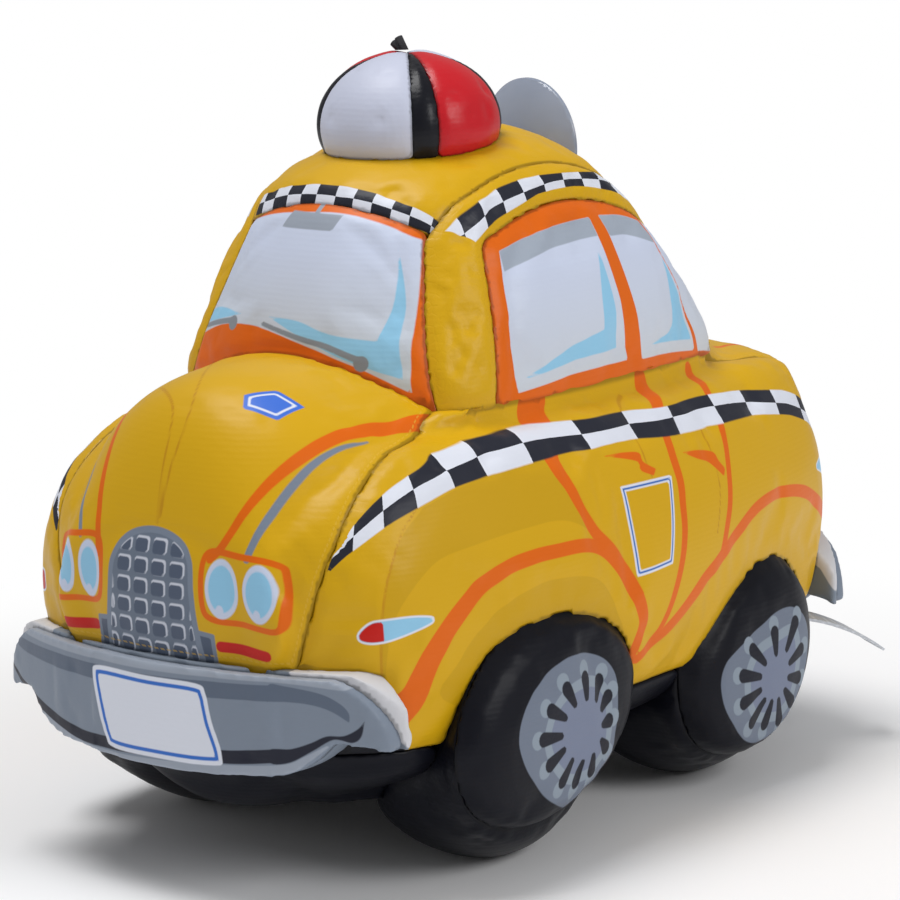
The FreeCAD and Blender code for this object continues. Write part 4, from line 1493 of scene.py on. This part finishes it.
    def _seam_shade_and_tone(self) -> bpy.types.NodeTree:
        """Colour with painted shade in the seams' grooves, and a tone that varies a little over the panel."""
        tree, given, result = self._group(
            "seam shade and tone",
            {"Color": "Color", "Seam": "Float", "Thread": "Color", "Stitches": "Float"},
            {"Color": "Color", "Stitch": "Float"},
        )
        place = placed(tree, "ShaderNodeTexCoord").outputs["Object"]
        tone = placed(tree, "ShaderNodeTexNoise", {"Vector": place, "Scale": 16.0, "Detail": 3.0})
        tone = math_socket(tree, "MULTIPLY_ADD", tone.outputs[0], 0.10, 0.95)
        # painted shade: within 1.1 mm of a seam the colour darkens, down to 55 % on the seam itself
        groove_shade = placed(tree, "ShaderNodeMapRange", {"Value": given["Seam"], "From Max": 1.1,
                                                      "To Min": 0.55}, interpolation_type="SMOOTHSTEP")
        tone = math_socket(tree, "MULTIPLY", tone, groove_shade.outputs[0])
        shaded = mixed(tree, 1.0, given["Color"], tone, blend="MULTIPLY")
        parts = placed(tree, "ShaderNodeSeparateXYZ", {0: place}).outputs
        along = math_socket(tree, "ADD", math_socket(tree, "ADD", parts["X"], parts["Y"]), parts["Z"])
        dash = math_socket(tree, "FRACT", math_socket(tree, "MULTIPLY", along, 400.0))
        dash = math_socket(tree, "LESS_THAN", dash, 0.62)
        row = math_socket(tree, "ABSOLUTE", math_socket(tree, "SUBTRACT", given["Seam"], 1.9))
        row = math_socket(tree, "LESS_THAN", row, 0.28)
        stitch = math_socket(tree, "MULTIPLY", math_socket(tree, "MULTIPLY", dash, row), given["Stitches"])
        tree.links.new(mixed(tree, stitch, shaded, given["Thread"]), result["Color"])
        tree.links.new(stitch, result["Stitch"])
        return tree


@dataclass(frozen=True)
class Vinyl:
    """Smooth sewn vinyl, printed or plain.

    Args:
        name: the finish's name.
        ground: its ground colour, linear.
        art: what is printed on it.
        roughness: its roughness.
        specular: strength of its reflection.
        thread: colour of the stitches beside its seams.
        stitches: how clearly the stitches show, 0 to 1.
        crease: strength of the creases beside its seams.
        weave: strength of the weave behind it.
    """

    name: str
    ground: Colour
    art: Artwork | None = None
    roughness: float = 0.40
    specular: float = 0.22
    thread: Colour = (0.74, 0.46, 0.05)
    stitches: float = 0.0
    crease: float = 1.0
    weave: float = 0.35

    def material(self, effects: Effects) -> bpy.types.Material:
        """Makes the material.

        Args:
            effects: the shared node groups.

        Returns:
            The material.
        """
        paint = bpy.data.materials.new(self.name)
        paint.use_nodes = True
        tree = paint.node_tree
        shader = tree.nodes["Principled BSDF"]
        seam = field_socket(tree, "seam_gap")
        colour = self._printed(tree, effects)
        # the seams' painted shade, the random tone and the stitches
        tone = placed(tree, "ShaderNodeGroup", {}, node_tree=effects.seam_shade_and_tone)
        for key, value in {"Color": colour, "Seam": seam, "Thread": (*self.thread, 1.0),
                           "Stitches": self.stitches}.items():
            set_socket(tree, tone.inputs[key], value)
        grain = placed(tree, "ShaderNodeGroup", {}, node_tree=effects.vinyl_grain)
        for key, value in {"Seam": seam, "Weave": self.weave, "Crease": self.crease,
                           "Roughness": self.roughness}.items():
            set_socket(tree, grain.inputs[key], value)
        height = math_socket(tree, "MULTIPLY_ADD", tone.outputs["Stitch"], 4.0, grain.outputs["Height"])
        bump = placed(tree, "ShaderNodeBump", {"Height": height, "Strength": 0.55, "Distance": 0.00007})
        tree.links.new(tone.outputs["Color"], shader.inputs["Base Color"])
        tree.links.new(grain.outputs["Roughness"], shader.inputs["Roughness"])
        tree.links.new(bump.outputs["Normal"], shader.inputs["Normal"])
        shader.inputs["Specular IOR Level"].default_value = self.specular
        return paint

    def _printed(self, tree: bpy.types.NodeTree, effects: Effects) -> SocketInput:
        """The ground colour with every ink laid over it.

        Args:
            tree: the material's node tree.
            effects: the shared node groups.

        Returns:
            The colour's socket, or the plain ground colour.
        """
        colour = (*self.ground, 1.0)
        if self.art is None:
            return colour
        for ink in self.art.inks:
            over = (*ink.colour, 1.0)
            if ink.foot:
                graded = placed(tree, "ShaderNodeGroup", {}, node_tree=effects.graded_ink)
                for key, value in {"Foot": (*ink.foot, 1.0), "Head": over, "Bottom": ink.levels[0],
                                   "Top": ink.levels[1]}.items():
                    set_socket(tree, graded.inputs[key], value)
                over = graded.outputs["Color"]
            layer = placed(tree, "ShaderNodeGroup", {}, node_tree=effects.print_layer)
            for key, value in {"Under": colour, "Ink": over, "Distance": field_socket(tree, ink.name),
                               "Low": ink.low, "High": ink.high}.items():
                set_socket(tree, layer.inputs[key], value)
            colour = layer.outputs["Color"]
        if self.art.strip:
            strip = placed(tree, "ShaderNodeGroup", {}, node_tree=effects.chequer)
            for key, value in {"Under": colour, "Dark": (0.020, 0.022, 0.034, 1.0),
                               "Light": (*SOFT_WHITE, 1.0),
                               "Along": field_socket(tree, "strip_along"),
                               "Across": field_socket(tree, "strip_across"),
                               "Cover": field_socket(tree, "strip_cover")}.items():
                set_socket(tree, strip.inputs[key], value)
            colour = strip.outputs["Color"]
        return colour


def set_socket(tree: bpy.types.NodeTree, socket: bpy.types.NodeSocket, value: SocketInput) -> None:
    """Links a socket to an input, or gives the input a value."""
    if isinstance(value, bpy.types.NodeSocket):
        tree.links.new(value, socket)
    else:
        socket.default_value = value


@dataclass(frozen=True)
class CupPlastic:
    """Clear grey soft plastic of the suction cup."""

    name: str = "cup_plastic"
    colour: Colour = (0.34, 0.39, 0.50)

    def material(self, effects: Effects) -> bpy.types.Material:
        """Makes the material.

        Args:
            effects: the shared node groups; not used.

        Returns:
            The material.
        """
        paint = bpy.data.materials.new(self.name)
        paint.use_nodes = True
        tree = paint.node_tree
        shader = tree.nodes["Principled BSDF"]
        place = placed(tree, "ShaderNodeTexCoord").outputs["Object"]
        haze = placed(tree, "ShaderNodeTexNoise", {"Vector": place, "Scale": 60.0, "Detail": 4.0})
        rough = math_socket(tree, "MULTIPLY_ADD", haze.outputs[0], 0.16, 0.14)
        cloud = mixed(tree, haze.outputs[0], (*self.colour, 1.0), (0.42, 0.47, 0.58, 1.0))
        tree.links.new(cloud, shader.inputs["Base Color"])
        tree.links.new(rough, shader.inputs["Roughness"])
        shader.inputs["Transmission Weight"].default_value = 0.35
        return paint


@dataclass(frozen=True)
class WovenTape:
    """Woven cord or label fabric.

    Args:
        name: the finish's name.
        colour: its colour, linear.
        pitch: threads to the metre.
    """

    name: str
    colour: Colour
    pitch: float = 1400.0

    def material(self, effects: Effects) -> bpy.types.Material:
        """Makes the material.

        Args:
            effects: the shared node groups; not used.

        Returns:
            The material.
        """
        paint = bpy.data.materials.new(self.name)
        paint.use_nodes = True
        tree = paint.node_tree
        shader = tree.nodes["Principled BSDF"]
        place = placed(tree, "ShaderNodeTexCoord").outputs["Object"]
        warp, weft = (
            placed(tree, "ShaderNodeTexWave", {"Vector": place, "Scale": self.pitch / 6.28},
                   bands_direction=way).outputs["Fac"]
            for way in ("DIAGONAL", "Z")
        )
        weave = math_socket(tree, "MULTIPLY", warp, weft)
        dark = tuple(0.8 * part for part in self.colour)
        tree.links.new(mixed(tree, weave, (*dark, 1.0), (*self.colour, 1.0)), shader.inputs["Base Color"])
        bump = placed(tree, "ShaderNodeBump", {"Height": weave, "Strength": 0.5, "Distance": 0.0001})
        tree.links.new(bump.outputs["Normal"], shader.inputs["Normal"])
        shader.inputs["Roughness"].default_value = 0.85
        return paint


@dataclass
class SewnAssembly:
    """Some padded panels that are sewn together.

    Args:
        finishes: the finish of each CAD node.
        seam: how the panels' edges are drawn in.
        stuffing: how they swell.
        unlike: the stuffing of the nodes that swell in another way.
    """

    finishes: dict[str, Vinyl] = field(default_factory=dict)
    seam: Seam = Seam.BODY
    stuffing: Stuffing = field(default_factory=Stuffing)
    unlike: dict[str, Stuffing] = field(default_factory=dict)

    def build(self, body: Body, effects: Effects, slots: dict[str, str]) -> None:
        """Builds and dresses every panel.

        Args:
            body: the whole stuffed body.
            effects: the shared node groups.
            slots: the record's material slot of each node; not used.
        """
        paints: dict[Vinyl, bpy.types.Material] = {}
        for node, finish in self.finishes.items():
            piece = Skin(node, self.seam, self.unlike.get(node, self.stuffing)).build(body)
            if finish.art:
                finish.art.lay(piece.data)
            if finish.name not in paints:
                paints[finish.name] = finish.material(effects)
            piece.data.materials.clear()
            piece.data.materials.append(paints[finish.name])


TYRE_VINYL = Vinyl("tyre_vinyl", BLACK, roughness=0.36, specular=0.16, crease=0.6)
LAMP_RED = Vinyl("lamp_red_vinyl", (0.56, 0.010, 0.018), roughness=0.34, specular=0.3, crease=0.3)
LAMP_BLACK = Vinyl("lamp_black_vinyl", BLACK, roughness=0.33, specular=0.25, crease=0.4)
LAMP_WHITE = Vinyl("lamp_white_vinyl", (0.56, 0.59, 0.72), crease=0.2)
BUMPER_PRINT = Vinyl("bumper_print", (0.215, 0.255, 0.32), BUMPER_ART, crease=0.3)
BUMPER_BACK = Vinyl("bumper_back_vinyl", (0.66, 0.66, 0.69), BUMPER_BACK_ART, crease=0.4)


def both_sides(name: str, finish: Vinyl | Stuffing) -> dict[str, Vinyl | Stuffing]:
    """The same finish or stuffing for the left and the right of a pair of nodes."""
    return {name.replace("SIDE", side): finish for side in ("left", "right")}


@dataclass
class Bodywork(SewnAssembly):
    """Hood, trunk, side panels and belly."""

    unlike: dict[str, Stuffing] = field(default_factory=lambda: {"belly_panel": PLAIN})
    finishes: dict[str, Vinyl] = field(default_factory=lambda: {
        "hood_panel": Vinyl("hood_print", YELLOW, HOOD_ART, stitches=0.5),
        "trunk_panel": Vinyl("trunk_print", YELLOW, TRUNK_ART, stitches=0.5),
        **both_sides("side_panel_SIDE", Vinyl("flank_print", YELLOW, FLANK_ART)),
        "belly_panel": Vinyl("belly_vinyl", BLACK, roughness=0.38, specular=0.14, crease=0.6),
    })


@dataclass
class Cabin(SewnAssembly):
    """Roof, cabin sides and the four window panels."""

    unlike: dict[str, Stuffing] = field(default_factory=lambda: both_sides("cabin_side_SIDE", PILLAR))
    finishes: dict[str, Vinyl] = field(default_factory=lambda: {
        "windscreen_panel": Vinyl("windscreen_print", ORANGE, WINDSCREEN_ART, crease=0.5),
        "rear_window_panel": Vinyl("rear_window_print", ORANGE, REAR_WINDOW_ART, crease=0.5),
        "roof_panel": Vinyl("roof_print", YELLOW, ROOF_ART, crease=1.3),
        **both_sides("window_panel_SIDE", Vinyl("side_window_print", ORANGE, SIDE_WINDOW_ART, crease=0.4)),
        **both_sides("cabin_side_SIDE", Vinyl("cabin_side_print", YELLOW, CABIN_SIDE_ART, crease=1.8)),
    })


@dataclass
class Wheels(SewnAssembly):
    """Four stuffed wheels: treads and printed faces."""

    stuffing: Stuffing = TYRE
    finishes: dict[str, Vinyl] = field(default_factory=lambda: {
        **both_sides("front_SIDE_tread", TYRE_VINYL),
        **both_sides("rear_SIDE_tread", TYRE_VINYL),
        **both_sides("front_SIDE_wheel_face",
                     Vinyl("front_wheel_print", BLACK, FRONT_WHEEL_ART, specular=0.16, crease=0.3)),
        **both_sides("rear_SIDE_wheel_face",
                     Vinyl("rear_wheel_print", BLACK, REAR_WHEEL_ART, specular=0.16, crease=0.3)),
    })


@dataclass
class Bumpers(SewnAssembly):
    """Two padded bumpers with a blank plate on each."""

    unlike: dict[str, Stuffing] = field(default_factory=lambda: {
        "front_bumper_back": BACKING, "rear_bumper_back": BACKING})
    seam: Seam = Seam.FINE
    stuffing: Stuffing = SMALL
    finishes: dict[str, Vinyl] = field(default_factory=lambda: {
        "front_bumper_face": BUMPER_PRINT,
        "rear_bumper_face": BUMPER_PRINT,
        "front_bumper_back": BUMPER_BACK,
        "rear_bumper_back": BUMPER_BACK,
    })


@dataclass
class RoofLamp(SewnAssembly):
    """The lamp on the roof: white, black and red gores."""

    seam: Seam = Seam.LAMP
    stuffing: Stuffing = SMALL
    finishes: dict[str, Vinyl] = field(default_factory=lambda: {
        "lamp_white_front": LAMP_WHITE,
        "lamp_white_rear": LAMP_WHITE,
        **both_sides("lamp_red_SIDE", LAMP_RED),
        **both_sides("lamp_black_front_SIDE", LAMP_BLACK),
        **both_sides("lamp_black_rear_SIDE", LAMP_BLACK),
    })


@dataclass
class Trim:
    """The small plain pieces: suction cup, its tab, the cut cord and the care label."""

    finishes: dict[str, object] = field(default_factory=lambda: {
        "suction_cup": CupPlastic(),
        "cup_tab": WovenTape("tab_tape", (0.02, 0.02, 0.025)),
        "hang_cord": WovenTape("braided_cord", (0.022, 0.022, 0.026), 2600.0),
        "care_label": WovenTape("label_tape", (0.72, 0.75, 0.80)),
    })

    def build(self, effects: Effects, slots: dict[str, str]) -> None:
        """Builds and dresses every piece.

        Args:
            effects: the shared node groups.
            slots: the record's material slot of each node; not used.
        """
        for node, finish in self.finishes.items():
            piece = new_object(node + "_trim", welded_copy([node]))
            smooth_shaded(piece.data)
            piece.data.set_sharp_from_angle(angle=math.radians(40.0))
            piece.data.materials.clear()
            piece.data.materials.append(finish.material(effects))
            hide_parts(node)
            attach(piece, "root")
            log.info("%s: %d faces", piece.name, len(piece.data.polygons))


class Studio:
    """Camera, lamps and the plain pale floor."""

    azimuth = 37.6
    elevation = 10.8
    roll = -1.3
    distance = 1.152
    lens = 140.12
    aim = (0.0, 0.0, 0.113)
    world = 0.32

    def camera(self) -> None:
        """Sets the camera at the photograph's viewing angle."""
        a, e, r = (math.radians(v) for v in (self.azimuth, self.elevation, self.roll))
        back = Vector((math.sin(a) * math.cos(e), -math.cos(a) * math.cos(e), math.sin(e)))
        right = Vector((math.cos(a), math.sin(a), 0.0))
        up = back.cross(right)
        side = right * math.cos(r) + up * math.sin(r)
        top = up * math.cos(r) - right * math.sin(r)
        spot = Vector(self.aim) + back * self.distance
        lens = bpy.data.cameras.new("camera")
        lens.lens = self.lens
        lens.sensor_width = 36.0
        lens.clip_start = 0.05
        holder = bpy.data.objects.new("camera", lens)
        turn = Matrix((side, top, back)).transposed().to_4x4()
        holder.matrix_world = Matrix.Translation(spot) @ turn
        bpy.context.scene.collection.objects.link(holder)
        bpy.context.scene.camera = holder

    def lamp(self, name: str, spot: tuple[float, float, float], size: float, power: float) -> None:
        """Adds a soft area lamp that looks at the toy.

        Args:
            name: the lamp's name.
            spot: where it stands, in metres.
            size: its edge, in metres.
            power: its power, in watts.
        """
        light = bpy.data.lights.new(name, "AREA")
        light.size = size
        light.energy = power
        holder = bpy.data.objects.new(name, light)
        holder.location = spot
        look = Vector((0.0, 0.0, 0.1)) - Vector(spot)
        holder.rotation_euler = look.to_track_quat("-Z", "Y").to_euler()
        bpy.context.scene.collection.objects.link(holder)

    @staticmethod
    def seen(tree: bpy.types.NodeTree) -> bpy.types.NodeSocket:
        """One for rays that show the background, zero for those that light the toy."""
        rays = placed(tree, "ShaderNodeLightPath").outputs
        return math_socket(tree, "MAXIMUM", rays["Is Camera Ray"], rays["Is Transmission Ray"])

    def floor(self) -> None:
        """Lays the plain pale floor, which turns into the white background further out."""
        form = bmesh.new()
        bmesh.ops.create_grid(form, x_segments=2, y_segments=2, size=3.0)
        mesh = bpy.data.meshes.new("floor")
        form.to_mesh(mesh)
        form.free()
        slab = new_object("floor", mesh)
        paint = bpy.data.materials.new("pale_floor")
        paint.use_nodes = True
        tree = paint.node_tree
        shader = tree.nodes["Principled BSDF"]
        shader.inputs["Base Color"].default_value = (0.96, 0.96, 0.97, 1.0)
        shader.inputs["Roughness"].default_value = 1.0
        shader.inputs["Specular IOR Level"].default_value = 0.0
        place = placed(tree, "ShaderNodeTexCoord").outputs["Object"]
        away = placed(tree, "ShaderNodeVectorMath", {0: place}, operation="LENGTH").outputs["Value"]
        far = placed(tree, "ShaderNodeMapRange", {"Value": away, "From Min": 0.15, "From Max": 0.36},
                     interpolation_type="SMOOTHSTEP").outputs[0]
        factor = math_socket(tree, "MULTIPLY", far, self.seen(tree))
        glow = placed(tree, "ShaderNodeEmission", {"Color": (1.0, 1.0, 1.0, 1.0), "Strength": 1.0})
        both = placed(tree, "ShaderNodeMixShader", {0: factor, 1: shader.outputs[0], 2: glow.outputs[0]})
        tree.links.new(both.outputs[0], tree.nodes["Material Output"].inputs["Surface"])
        mesh.materials.append(paint)

    def build(self) -> None:
        """Sets up the whole studio."""
        scene = bpy.context.scene
        scene.view_settings.view_transform = "Standard"
        world = bpy.data.worlds.new("studio")
        world.use_nodes = True
        tree = world.node_tree
        back = tree.nodes["Background"]
        back.inputs["Color"].default_value = (1.0, 1.0, 1.0, 1.0)
        strength = math_socket(tree, "MULTIPLY_ADD", self.seen(tree), 1.0 - self.world, self.world)
        tree.links.new(strength, back.inputs["Strength"])
        scene.world = world
        self.camera()
        self.lamp("top", spot=(-0.35, -0.25, 1.75), size=0.8, power=18.5)
        self.lamp("side", spot=(1.7, 0.05, 1.05), size=0.8, power=13.0)
        self.floor()


def main() -> None:
    """Builds the toy piece by piece."""
    logging.basicConfig(level=logging.INFO, format="%(name)s: %(message)s")
    Studio().build()
    slots = {row["node"]: row["material_slot"] for row in frame["record"]["subparts"]}
    effects = Effects()
    assemblies = (Bodywork(), Cabin(), Wheels(), Bumpers(), RoofLamp())
    body = Body([node for assembly in assemblies for node in assembly.finishes])
    for assembly in assemblies:
        log.info("building %s", type(assembly).__name__)
        assembly.build(body, effects, slots)
    Trim().build(effects, slots)


if __name__ == "__main__":
    main()
